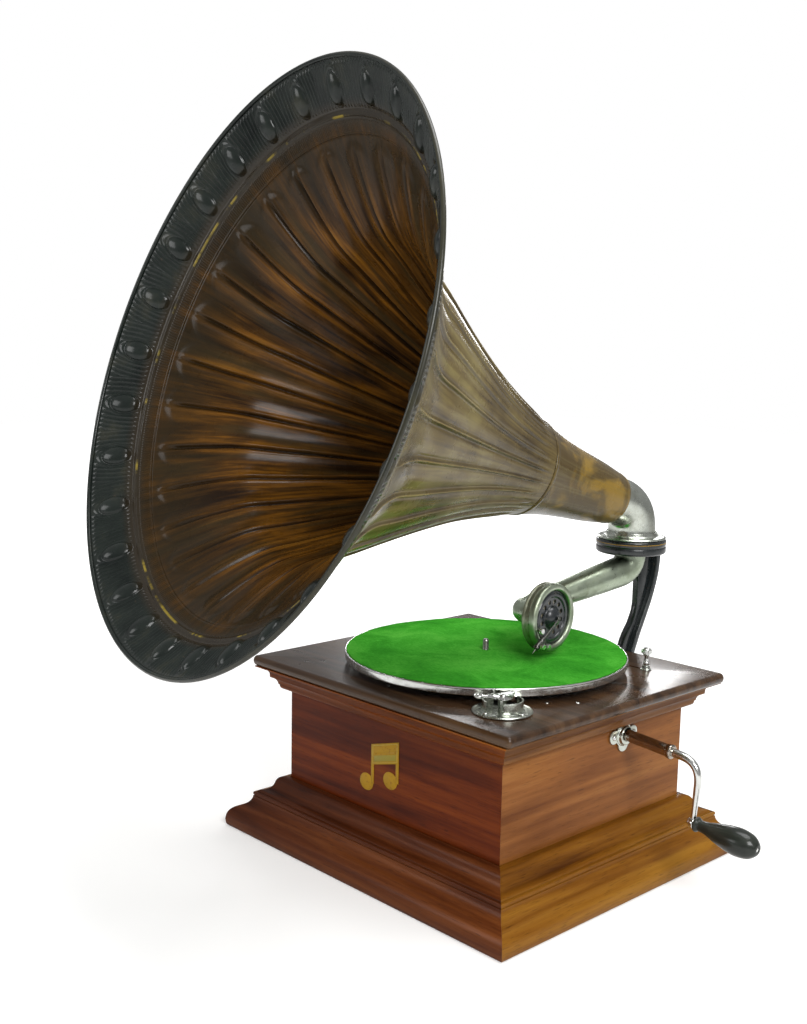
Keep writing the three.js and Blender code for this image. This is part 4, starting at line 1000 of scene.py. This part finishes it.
def sheet_skins(stations, out):
    """The outside and the inside of the pressed sheet, each a list of (station, radius) loops."""
    radius = horn_radius(stations)[:, None]
    slope = np.gradient(horn_radius(stations), stations)[:, None]
    length = np.sqrt(1 + slope**2)
    skins = []
    for push in (out, out - HORN_WALL):
        skins.append(list(zip(stations[:, None] - push * slope / length, radius + push / length)))
    return skins


def edge_wire(station, count):
    """Loops of (station, radius) round the wire that is rolled into the horn's edge."""
    loops = []
    for turn in np.radians(np.linspace(-40, 200, 11)):
        at, radius = station + 1.2 + 2.4 * math.sin(turn), horn_radius(station) + 0.2 + 2.4 * math.cos(turn)
        loops.append((np.full(count, at), np.full(count, radius)))
    return loops


def horn_shell(name, stations, angles, relief, nodes=(), wired=False):
    """A pressed sheet with an inside and an outside, and the point data that its paint reads."""
    station, angle = np.meshgrid(stations, angles, indexing="ij")
    out, groove, middle = relief(station, angle)
    outer, inner = sheet_skins(stations, out)
    wire = edge_wire(stations[-1], len(angles)) if wired else []
    level, up, ahead = (np.array(direction) for direction in (HORN_LEVEL, HORN_UP, HORN_DIRECTION))
    origin = np.array(HORN_APEX + HORN_DIRECTION * HORN_START)
    spokes = np.cos(angles)[:, None] * level + np.sin(angles)[:, None] * up
    loops = [origin + s[:, None] * ahead + r[:, None] * spokes for s, r in outer + wire + inner[::-1]]
    vertices, faces = loft(loops, ring=True)
    mesh = bpy.data.meshes.new(name)
    mesh.from_pydata((vertices * MM).tolist(), [], faces)
    blank = np.zeros((len(wire), len(angles)))
    layers = {
        "station": (station, blank + stations[-1]),
        "angle": (angle, blank + angles),
        "relief": (out, blank),
        # edge: where the paint darkens: painted shade in the bell's grooves and rounded steps and round the
        # rim's bosses, and a dark line before the neck's seam
        "edge": (groove, blank),
        "middle": (middle, blank),
    }
    for key, (on_sheet, on_wire) in layers.items():
        values = np.concatenate([on_sheet, on_wire, on_sheet[::-1]]).astype(np.float32)
        mesh.attributes.new(key, "FLOAT", "POINT").data.foreach_set("value", values.ravel())
    mesh.materials.append(HORN_OUTSIDE)
    mesh.materials.append(HORN_INSIDE)
    first_inside = (len(outer) + len(wire) // 2) * len(angles)
    inside = (np.arange(len(faces)) >= first_inside).astype(np.int32)
    mesh.polygons.foreach_set("material_index", inside)
    face_outwards(mesh)
    obj = bpy.data.objects.new(name, mesh)
    bpy.context.scene.collection.objects.link(obj)
    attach(obj, "horn")
    if nodes:
        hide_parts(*nodes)


def neck_relief(station, angle):
    """A plain neck with a rolled seam at the bell and a bead near the elbow."""
    roll = 0.9 * np.exp(-(((station - HORN_SEAM + 2) / 2.2) ** 4))
    bead = 0.4 * np.exp(-(((station - 38) / 1.6) ** 2))
    dark = np.exp(-(((station - HORN_SEAM + 5) / 1.2) ** 2))
    return roll + bead, dark, np.full_like(station, 0.5)


def flute_angles(count=28):
    """Angles packed close to the ribs, where the relief is sharp."""
    shares = np.linspace(-0.5, 0.5, count, endpoint=False)
    packed = np.sign(shares) * 0.5 * (2 * np.abs(shares)) ** 1.7
    return np.concatenate([(k + packed) * TAU / RIBS + RIB_AT for k in range(RIBS)])


def make_horn():
    """Three sheets end to end: a plain neck, the fluted bell and the embossed rim."""
    neck = np.linspace(HORN_NECK_START, HORN_SEAM, 90)
    bell = np.linspace(HORN_SEAM + 0.1, HORN_RIM_START + 0.6, 170)
    hollow = 497
    rim = np.concatenate([np.linspace(HORN_RIM_START, hollow, 34, endpoint=False),
                          np.linspace(hollow, HORN_LENGTH - 1, 46)])
    round_neck = np.linspace(0, TAU, 160, endpoint=False)
    round_rim = np.linspace(0, TAU, REEDS * 5, endpoint=False)
    horn_shell("horn_neck_tube", neck, round_neck, neck_relief, ["horn_neck"])
    horn_shell("horn_bell_flutes", bell, flute_angles(), flute_relief, ["horn_bell"])
    horn_shell("horn_rim_band", rim, round_rim, rim_relief, wired=True)
    make_elbow()


def make_elbow():
    """The nickel pipe under the horn and the collar that it stands in."""
    foot = (SWIVEL.x, SWIVEL.y, RING_TOP + 3.8)
    end = HORN_APEX + HORN_DIRECTION * (HORN_NECK_START + 12)
    path = bent_path([foot, HORN_APEX, end], [26], 24)

    def radius_at(share):
        """A raised bead near each end."""
        bead = math.exp(-((share - 0.93) / 0.035) ** 2) + math.exp(-((share - 0.03) / 0.03) ** 2)
        return ELBOW_RADIUS + 0.7 * bead

    piece("horn_elbow_tube", tube(path, radius_at, 1.6, 96), NICKEL, "horn", ["horn_elbow"],
          crease=60)
    pipe, ring = ELBOW_RADIUS, RING_RADIUS
    profile = [(pipe - 3, 0.3), (ring - 1.5, 0.3), (ring - 0.5, 1.6), (ring - 2.5, 3), (pipe + 4, 3.6),
               (pipe + 2.4, 5), (pipe + 2, 8), (pipe + 1.2, 8), (pipe + 1.2, 3), (pipe - 3, 3)]
    collar = turned(profile, UP, (SWIVEL.x, SWIVEL.y, RING_TOP), 96)
    piece("collar_ring", collar, NICKEL, "cabinet", ["horn_collar"])


# ---------------------------------------------------------------- bracket


def bracket_web():
    """The casting's side view, listed anticlockwise in (distance back, height)."""
    forward = [(143.6, 76), (143.6, 142), *bow((143.6, 142), (158, 156), (165, 172)),
               *bow((165, 172), (172, 182), (174, 196)), *bow((174, 196), (177, 208), (187, 219)),
               *bow((187, 219), (199, 232), (199, 252)), (199, 301)]
    behind = [(230, 301), *bow((230, 301), (224, 265), (205, 228)), *bow((205, 228), (190, 200), (178, 172)),
              *bow((178, 172), (168, 148), (150, 130)), (149, 76)]
    side_on = Matrix(((0, 0, 1, SWIVEL.x), (1, 0, 0, 0), (0, 1, 0, 0), (0, 0, 0, 1)))
    return placed(prism((forward + behind)[::-1], -4, 4, 0.9), side_on)


def bracket_flange():
    """The wider strip that follows the back of the web, with a rounded ridge down its middle."""
    spine = curve([(152, 112), (166, 141), (181, 176), (194, 206), (206, 229), (218, 253), (227, 279),
                   (230, 303)], 8)
    path = np.column_stack([np.full(len(spine), SWIVEL.x), spine])
    section = [(10, -3.2), (10, 3.2), (7.6, 3.6), (-7.6, 3.6), (-10, 3.2), (-10, -3.2)]
    section = rounded(section, 1.6, closed=True)
    strip = loft(sweep(path, lambda share: section, RIGHT))
    ridge = tube(path + np.array((0, 3.6, -1.2)), lambda share: 1.9, 0, 16)
    return [strip, ridge]


def make_bracket():
    """Black casting: a curved web with a wider flange behind it, a foot plate and the ring."""
    outside, inside, low, top = RING_RADIUS, RING_RADIUS - 21.5, RING_BOTTOM, RING_TOP
    ring = [(inside, low), (outside - 1.5, low), (outside, low + 1.6), (outside, low + 7),
            (outside - 1, low + 8.2), (outside, low + 9.4), (outside, top - 1.5), (outside - 1.5, top),
            (outside - 14.7, top), (outside - 15.7, top - 7), (inside, top - 7)]
    foot_outline = rounded([(-20, 70), (20, 70), (20, 142), (-20, 142)], 8, closed=True, steps=8)
    foot = placed(prism(foot_outline, 0, 6, 1), along(BACK, (SWIVEL.x, BODY_Y + 0.4, 0), (-1, 0, 0)))
    piece("bracket_web_casting", bracket_web(), BLACK_WEB, "cabinet", ["horn_bracket"],
          joins=[foot])
    # The flange takes the black that is painted lighter, as painted light.
    piece("bracket_flange_casting", bracket_flange(), BLACK_FLANGE_LIGHT, "cabinet", crease=50)
    piece("bracket_ring_casting", turned(ring, UP, (SWIVEL.x, SWIVEL.y, 0), 96, 0.6), BLACK_WEB, "cabinet")
    line = rectangle(outside - 0.3, outside + 0.2, -0.3, 0.3)
    piece("ring_gilt_line", turned(line, UP, (SWIVEL.x, SWIVEL.y, low + 12.5), 96, 0.1), GILT, "cabinet")
    for number, height in ((1, 81), (2, 129)):
        screw_head(f"bracket_bolt_head_{number}", (SWIVEL.x, BODY_Y + 6.5, height), BACK, 4.4, 2.6,
                   BLACK_FLANGE_LIGHT, "cabinet", [f"bracket_bolt_{number}"], 0.4 + number)


# ---------------------------------------------------------------- tonearm and soundbox


def on_soundbox(distance):
    return SOUNDBOX + SOUNDBOX_AXIS * distance


def make_tonearm():
    """A pipe that drops through the bracket's ring and bends forward to the soundbox."""
    top = Vector((SWIVEL.x, SWIVEL.y, RING_TOP - 4))
    low = Vector((SWIVEL.x, SWIVEL.y, RING_BOTTOM - 19))
    path = bent_path([top, low, on_soundbox(-47.4), on_soundbox(-25)], [19, 17], 20)

    def radius_at(share):
        """Wide at the ring and narrow at the soundbox, with a raised band at two places."""
        base = 17.3 + (12.4 - 17.3) * float(ease(0.2, 0.85, share))
        bands = sum(math.exp(-((share - at) / 0.008) ** 2) for at in (0.245, 0.80))
        return base + 0.5 * bands

    piece("tonearm_tube", tube(path, radius_at, 1.8, 72), NICKEL_GREEN, "tonearm", ["tonearm"],
          crease=70)
    flange = turned(rectangle(16.5, 22.8, top.z - 2.6, top.z), UP, (SWIVEL.x, SWIVEL.y, 0), 72)
    piece("tonearm_flange", flange, NICKEL, "tonearm")


def on_face(profile, segments=96, edge=0.3):
    """A turned piece about the soundbox's axis, with heights measured out from its face."""
    return turned(profile, SOUNDBOX_AXIS, SOUNDBOX, segments, edge)


def soundbox_holes():
    """Twelve round openings in a ring."""
    across = along(SOUNDBOX_AXIS, SOUNDBOX)
    holes = []
    for k in range(12):
        angle = TAU * (k + 0.5) / 12
        centre = across @ Vector((17 * math.cos(angle), 17 * math.sin(angle), 0))
        holes.append(rod(2.5, -8, 4, SOUNDBOX_AXIS, centre, 20))
    return holes


def make_soundbox():
    """Back shell, bezel, pierced face, mica diaphragm and its gasket, and the stylus lever."""
    r = SOUNDBOX_RADIUS
    shell = [(13.3, -29.5), (15.6, -29.5), (16.2, -27.5), (16, -25), (18, -21.5), (23, -18.6), (32, -15.6),
             (r - 1.2, -15), (r - 0.2, -13.2), (r - 1.2, -11.2), (r - 3, -10.8), (r - 3, -6.3), (31, -6.3),
             (31, -12.5), (9, -13.5), (9, -23), (13.3, -23)]
    bezel = [(32, -6), (r - 1, -6), (r, -4.6), (r, -0.8), (r - 0.6, 0.7), (r - 1.8, 1.7), (r - 4.2, 2),
             (30.6, 1.7), (29.6, 0.9), (29, -0.4), (29, -3.6), (32, -3.6)]
    face = [(0, -3.3), (28.7, -3.3), (28.7, -1.6), (26.6, -1.5), (25.8, -0.5), (22.4, -0.3), (21.6, -1.9),
            (12.6, -2.2), (11.9, -1.2), (11.3, 0.2), (10, 2), (7.6, 3.8), (4.4, 4.9), (2, 5.2), (0, 5.3)]
    sheet = [(0, -5.9), (30.6, -5.9), (30.6, -5.5), (0, -5.5)]
    piece("soundbox_back_shell", on_face(shell), NICKEL_DULL, "soundbox", ["soundbox_back"])
    piece("soundbox_bezel_ring", on_face(bezel), NICKEL_GREEN, "soundbox", ["soundbox_bezel"])
    piece("soundbox_groove_band", on_face(rectangle(r - 2.6, r - 0.8, -10.9, -6.2)), NICKEL_DULL, "soundbox")
    piece("soundbox_face", on_face(face, 120, 0.6), ENAMEL, "soundbox", ["soundbox_grille"],
          cuts=soundbox_holes())
    piece("mica_sheet", on_face(sheet, 72, 0.1), MICA, "soundbox", ["diaphragm"])
    piece("gasket_ring", on_face(rectangle(27.6, 31.2, -5.2, -3.9), 72, 0.4), RUBBER, "soundbox",
          ["diaphragm_gasket"])
    make_stylus()


def make_stylus():
    """The lever, needle and screws, in a frame with X out of the face and Z from needle to centre."""
    out = SOUNDBOX_AXIS
    level = Vector(UP).cross(out).normalized()
    to_needle = level * -math.cos(BAR_ANGLE) + Vector((0, 0, -math.sin(BAR_ANGLE)))
    matrix = along(to_needle * -1, SOUNDBOX, out)
    stand_off, screw_place, clamp_place = 7.2, -31, -42
    chuck_line = Matrix.Translation((stand_off, 0, 0))

    def put(part):
        return placed(part, matrix)

    bar_path = [(7.4 + 0.5 * math.sin(t * 3), 0, 1 - 35 * t) for t in np.linspace(0, 1, 12)]
    bar = tube(np.array(bar_path), lambda t: 0.8 + 0.8 * t, 0, 20)
    foot = turned([(0, 6.2), (2.4, 6.2), (2.4, 7.8), (1.6, 8.5), (0, 8.5)], RIGHT, (0, 0, 0), 32)
    cross = block((5.2, -14, -33.4), (6.6, 14, -28.6), 0.5)
    chuck_profile = rounded([(0, -47), (2.6, -47), (3.4, -45), (3.4, -38), (3.0, -36.6), (3.4, -35.4),
                             (2.4, -31), (0, -31)], 0.3)
    chuck = placed(lathe(chuck_profile, 40), chuck_line)
    holes = [rod(1.6, 0, 9, RIGHT, (0, y, screw_place), 20) for y in (-11, 11)]
    holes.append(rod(1.3, 7.2, 14, RIGHT, (0, 0, clamp_place), 20))
    holes.append(placed(lathe([(0, -48), (0.9, -48), (0.9, -38), (0, -38)], 20), chuck_line))
    piece("stylus_lever", put(cross), TARNISHED, "stylus", ["stylus_bar"],
          joins=[put(chuck), put(bar), put(foot)], cuts=[put(hole) for hole in holes])
    needle = [(0, -53.5), (0.12, -53), (0.3, -52), (0.65, -48), (0.65, -38.3), (0, -38.3)]
    piece("needle_point", put(placed(lathe(needle, 24), chuck_line)), STEEL, "stylus", ["needle"])
    clamp = [rod(1, 8.3, 11.4, RIGHT, (0, 0, clamp_place), 24, 0.1),
             placed(knurled(2.9, 11.2, 15.2, 22), along(RIGHT, (0, 0, clamp_place)))]
    piece("needle_clamp_screw", [put(part) for part in clamp], NICKEL_BRIGHT, "needle_screw",
          ["needle_screw"])
    for number, y in ((1, -11), (2, 11)):
        post = [rod(1.2, 2.3, 7.4, RIGHT, (0, y, screw_place), 24, 0.1),
                placed(knurled(3, 7.1, 11, 24), along(RIGHT, (0, y, screw_place)))]
        piece(f"spring_screw_head_{number}", [put(part) for part in post], NICKEL_BRIGHT, "soundbox",
              [f"spring_screw_{number}"])


# ---------------------------------------------------------------- brake and regulator


DISH_WALLS = ((-45, 84), (160, 262))


def wall_arc(radius, thickness, low, high, start, end):
    """Part of an upright ring between two angles in degrees."""
    section = [(0, low), (0, high - 0.4), (0.4, high), (thickness - 0.4, high), (thickness, high - 0.4),
               (thickness, low)]
    loops = []
    for angle in np.radians(np.linspace(start, end, max(6, int((end - start) / 4)))):
        c, s = math.cos(angle), math.sin(angle)
        loops.append([((radius - inward) * c, (radius - inward) * s, height) for inward, height in section])
    return loft(loops)


def make_brake_dish(floor):
    """A shallow dish with two curved walls, a post in its middle and two screws."""
    x, y = BRAKE.x, BRAKE.y
    base = Matrix.Translation((x, y, 0))
    dish = upright([(0, floor), (29, floor), (29.4, floor + 1.2), (28.4, floor + 2.1), (26.6, floor + 1.5),
                    (21, floor + 1.2), (0, floor + 1.4)], x, y, 120, 0.5)
    post = upright(rectangle(1.7, 4.5, floor + 1, floor + 12.4), x, y)
    walls = [placed(wall_arc(20, 1.6, floor + 1, floor + 12.4, *span), base) for span in DISH_WALLS]
    lips = [placed(wall_arc(21.4, 2.4, floor + 1, floor + 2.2, *span), base) for span in DISH_WALLS]
    piece("brake_dish", [dish, post] + walls + lips, NICKEL, "cabinet", ["brake_base"])
    for number in (1, 2):
        low, high = size(f"brake_screw_{number}")
        middle = (low + high) / 2
        screw_head(f"brake_screw_head_{number}", (middle.x, middle.y, floor + 1.7), UP, 2.5, 1.3,
                   NICKEL_BRIGHT, "cabinet", [f"brake_screw_{number}"], 0.9 * number)


def make_brake_lever(z):
    """A flat lever on the post, with a finger loop and a leather pad that presses on the rim."""
    x, y = BRAKE.x, BRAKE.y
    base = Matrix.Translation((x, y, 0))
    pad_turn = math.radians(108.3)
    pad_x, pad_y = 21.5 * math.cos(pad_turn), 21.5 * math.sin(pad_turn)
    fan = rounded([(-10, 3), (-9, -5), (8, -8), (10, 2), (pad_x + 4, pad_y + 0.5),
                   (pad_x - 1.4, pad_y + 0.5)], 2.5, closed=True)
    tongue = rounded([(3, -5), (-4, 3), (-17, -10), (-14.5, -13)], 1, closed=True)
    hub = circle_of(7.5, 48)
    plates = [placed(prism(shape, z + lift, z + 1.8 - lift, 0.3), base)
              for shape, lift in ((fan, 0), (tongue, 0.02), (hub, -0.25))]
    loop = upright(rectangle(2.5, 4.8, z - 0.4, z + 2.2), x - 18, y - 14, 40, 0.9)
    tab = upright(rectangle(0, 2.4, z - 1.5, z + 0.4), x + pad_x, y + pad_y, 32)
    piece("brake_lever_plate", plates + [loop, tab], NICKEL_BRIGHT, "brake", ["brake_lever"])
    leather = [(0, z - 7), (2.8, z - 7), (3, z - 4.4), (2.8, z - 1.8), (0, z - 1.8)]
    piece("brake_pad_leather", upright(leather, x + pad_x, y + pad_y, 40, 0.5), LEATHER, "brake",
          ["brake_pad"])
    screw_head("brake_pivot_head", (x, y, z + 2.2), UP, 3.4, 1.9, NICKEL_BRIGHT, "cabinet",
               ["brake_pivot_screw"], 1.1)


def make_brake():
    floor = DECK + 0.3
    make_brake_dish(floor)
    make_brake_lever(floor + 12.7)


def make_regulator():
    """The speed screw with its knurled knob, and the bush it turns in."""
    x, y = REGULATOR.x, REGULATOR.y
    shank = [(0, 162), (1.2, 164), (2.1, 168), (2.1, 200.8), (3.4, 201.4), (3.6, 202.8), (3.4, 204),
             (2.3, 205), (2.1, 208), (2.4, 211), (3.6, 211.6), (3.6, 213.2), (3, 213.8), (0, 213.8)]
    cap = [(0, 217), (4.8, 217), (4.6, 218.6), (3, 219.4), (0, 219.6)]
    knob = placed(knurled(5.6, 213.6, 217.8, 26), Matrix.Translation((x, y, 0)))
    piece("speed_thumbscrew", [upright(shank, x, y, 48, 0.4), knob, upright(cap, x, y, 48, 0.4)],
          NICKEL_BRIGHT, "speed_screw", ["speed_screw"])
    z = DECK + 0.2
    bush = [(2.6, z), (5.8, z), (5.8, z + 0.8), (4.2, z + 1.8), (4, z + 4.4), (3.4, z + 5), (2.6, z + 5)]
    piece("speed_bush_ring", upright(bush, x, y, 60), NICKEL, "cabinet", ["speed_bush"])


# ---------------------------------------------------------------- crank


def lobed_outline(lobes):
    """The outside of overlapping circles (x, y, radius), walked round from the origin."""
    outline = []
    for angle in np.linspace(0, TAU, 160, endpoint=False):
        reach = 0
        for x, y, radius in lobes:
            toward = x * math.cos(angle) + y * math.sin(angle)
            under = radius**2 - (x**2 + y**2 - toward**2)
            if under > 0:
                reach = max(reach, toward + math.sqrt(under))
        outline.append((reach * math.cos(angle), reach * math.sin(angle)))
    return outline


def make_escutcheon():
    """A four-lobed nickel plate with a raised boss and two domed screws."""
    middle = Vector((BODY_X, CRANK.y, CRANK.z - 1.5))
    lobes = [(0, 0, 12.8), (15.4, 0, 7.2), (-15.4, 0, 7.2), (0, 9.6, 8), (0, -9.6, 8)]
    plate = placed(prism(lobed_outline(lobes), 0.2, 2.3, 0.5), along(RIGHT, middle, BACK))
    boss = turned([(0, 1), (11.6, 1), (11.4, 2.6), (9.9, 3.4), (9.5, 6.4), (8.6, 6.9), (0, 6.9)],
                  RIGHT, middle, 72, 0.4)
    bore = rod(7.3, -5, 12, RIGHT, CRANK, 48)
    piece("escutcheon_plate", plate, NICKEL, "cabinet", ["crank_escutcheon"], joins=[boss],
          cuts=[bore])
    for number, side in ((1, -1), (2, 1)):
        screw_head(f"escutcheon_screw_head_{number}", middle + Vector((2.5, side * 16, 0)), RIGHT, 2.9, 1.7,
                   NICKEL_BRIGHT, "cabinet", [f"escutcheon_screw_{number}"], 0.6 * number)


def make_crank():
    """Built in a frame with Z out along the crank's axis and X along its arm."""
    place = along(CRANK_AXIS, CRANK, (0, 0, -1))
    end, bend, reach = 62, 93.5, 62
    sleeve = rounded([(0, -76), (4, -76), (4, -20), (6.25, -18), (6.25, 12), (6.4, 12.4), (6.25, 12.8),
                      (6.25, end - 7), (7, end - 5), (7.4, end - 2.4), (7.2, end - 0.8), (6, end), (3.9, end),
                      (3.9, end - 8), (0, end - 8)], 0.4)
    parts = [lathe(sleeve, 72), prism(pinion_outline(8.3, 13.6), -78, -70, 0.2)]
    piece("crank_sleeve", [placed(part, place) for part in parts], CRANK_NICKEL, "crank", ["crank_shaft"])

    def rod_radius(share):
        """A stub inside the sleeve, a short step out, then a long taper."""
        if share > 0.14:
            return 4.8 + (2.6 - 4.8) * share
        return 3.7 + 1.1 * float(ease(0.10, 0.14, share))

    path = bent_path([(0, 0, end - 12), (0, 0, bend), (reach, 0, bend)], [22], 20)
    eye = turned([(0, 90.7), (4.9, 90.7), (5.6, 91.6), (5.6, 95.4), (4.9, 96.3), (0, 96.3)], UP,
                 (reach, 0, 0), 48)
    hole = rod(2.3, 80, 105, UP, (reach, 0, 0))
    piece("crank_arm_rod", placed(tube(path, rod_radius, 0, 40), place), NICKEL_BRIGHT, "crank",
          ["crank_arm"], joins=[placed(eye, place)], cuts=[placed(hole, place)])


def make_handle():
    """The rivet pin and the grip that turns on it."""
    here = along(CRANK_AXIS, HANDLE, (0, 0, -1))
    pin = rounded([(0, -6.6), (1.6, -6.3), (3.2, -5.4), (3.9, -4.2), (3.9, -3.1), (2.1, -3.1), (2.1, 71.5),
                   (0, 71.5)], 0.3)
    piece("crank_pin_rivet", placed(lathe(pin, 40), here), NICKEL_BRIGHT, "crank", ["crank_pin"])
    ferrule = rounded([(2.5, 3.2), (6.8, 3.2), (7.5, 4.2), (7.5, 5.4), (6.9, 6.6), (5.9, 7.4)], 0.4)
    grip = curve([(5.7, 9), (6.4, 16), (9.8, 28), (12.9, 43), (13.6, 53), (11.6, 64), (6.2, 71),
                  (2.6, 72)], 8)
    profile = list(ferrule) + [tuple(point) for point in grip]
    piece("crank_grip", placed(lathe(profile, 72), here), EBONISED, "handle", ["crank_handle"],
          crease=50)


# ---------------------------------------------------------------- carried-over nodes


def finish_hidden():
    """Procedural materials for the motor pieces, which keep their CAD shapes."""
    looks = {
        MOTOR_IRON: ["motor_frame", "motor_lower_plate"],
        BRASS: ["intermediate_gear", "spring_barrel", "governor_weights"],
        STEEL: ["mainspring", "winding_arbor", "governor_shaft", "speed_lever"],
    }
    for material, names in looks.items():
        for name in names:
            mesh = frame["nodes"][name].data
            mesh.materials.clear()
            mesh.materials.append(material)


# ---------------------------------------------------------------- stage


def make_floor():
    """A white paper floor. It glows a little for the camera, more so far away, and fades to white."""
    mesh = bpy.data.meshes.new("floor")
    reach = 6
    corners = [(x, y, 0) for x, y in rectangle(-reach, reach, -reach, reach)]
    mesh.from_pydata(corners, [], [(0, 1, 2, 3)])
    look = Look("floor_paper")
    grain = look.bump(look.noise(300), 0.05, 0.2)
    seen = look.node("ShaderNodeLightPath").outputs["Is Camera Ray"]
    distance = look.node("ShaderNodeVectorMath", {0: look.object}, operation="LENGTH").outputs["Value"]
    glow = look.times(seen, look.between(distance, 0.6, 2.2, 0.2, 1.0))
    mesh.materials.append(look.done((0.90, 0.90, 0.89), 0.9, grain, Emission_Color=(1, 1, 1),
                                    Emission_Strength=glow))
    floor = bpy.data.objects.new("floor", mesh)
    floor.location.z = -0.0004
    bpy.context.scene.collection.objects.link(floor)


def area_light(name, place, target, width, height, power):
    light = bpy.data.lights.new(name, "AREA")
    light.shape = "RECTANGLE"
    light.size, light.size_y = width, height
    light.energy = power
    obj = bpy.data.objects.new(name, light)
    obj.visible_camera = False
    obj.location = place
    obj.rotation_euler = (Vector(target) - Vector(place)).to_track_quat("-Z", "Y").to_euler()
    bpy.context.scene.collection.objects.link(obj)


def make_lights():
    area_light("key", (2.2, -0.9, 1.9), (0, 0, 0.3), 1.2, 1.2, 54)
    area_light("fill", (-1.3, -2.6, 1.3), (0, -0.1, 0.4), 1.4, 1.4, 24)
    area_light("top", (0.3, 0.5, 2.6), (0, 0, 0.2), 1.5, 1.5, 34)
    area_light("window_left", (-1.45, 1.25, 0.86), (0.05, -0.05, 0.2), 0.26, 0.36, 3.2)
    area_light("window_right", (-1.0, 1.75, 0.92), (0.14, -0.1, 0.2), 0.26, 0.36, 3.2)
    make_world()


def make_world():
    """Soft light that grows towards the zenith. The camera itself sees plain white."""
    world = bpy.data.worlds.new("studio")
    bpy.context.scene.world = world
    world.use_nodes = True
    nodes = Nodes(world.node_tree)
    incoming = nodes.node("ShaderNodeNewGeometry").outputs["Incoming"]
    down = nodes.node("ShaderNodeSeparateXYZ", {0: incoming}).outputs[2]
    height = nodes.node("ShaderNodeMapRange", {0: down, 1: 1.0, 2: -1.0}).outputs[0]
    sky = nodes.ramp(height, (0.35, (0.55, 0.55, 0.55)), (0.9, (1.0, 1.0, 1.0)))
    seen = nodes.node("ShaderNodeLightPath").outputs["Is Camera Ray"]
    background = world.node_tree.nodes["Background"]
    nodes.plug(background.inputs[0], nodes.mix(seen, sky, (1 / WORLD_STRENGTH,) * 3))
    nodes.plug(background.inputs[1], WORLD_STRENGTH)


def make_camera():
    """The photograph's view, fitted to the cabinet's edges and the platter's ellipse."""
    yaw, pitch, roll = math.radians(-46.96), math.radians(8.19), math.radians(1.02)
    look_along = Vector((math.sin(yaw) * math.cos(pitch), math.cos(yaw) * math.cos(pitch), -math.sin(pitch)))
    right = Vector((math.cos(yaw), -math.sin(yaw), 0))
    up = right.cross(look_along)
    right_rolled = right * math.cos(roll) + up * math.sin(roll)
    up_rolled = up * math.cos(roll) - right * math.sin(roll)
    camera = bpy.data.cameras.new("camera")
    camera.sensor_fit = "VERTICAL"
    camera.sensor_height = 36
    camera.lens = 43.74
    camera.shift_x, camera.shift_y = 0.0101, 0.0051
    obj = bpy.data.objects.new("camera", camera)
    matrix = Matrix((right_rolled, up_rolled, -look_along)).transposed().to_4x4()
    matrix.translation = Vector((0.8914, -0.9731, 0.5441))
    obj.matrix_world = matrix
    bpy.context.scene.collection.objects.link(obj)
    bpy.context.scene.camera = obj
    bpy.context.scene.view_settings.view_transform = "Standard"


make_cabinet()
make_top_board()
make_ornament()
make_turntable()
make_horn()
make_bracket()
make_tonearm()
make_soundbox()
make_brake()
make_regulator()
make_escutcheon()
make_crank()
make_handle()
finish_hidden()
make_floor()
make_lights()
make_camera()
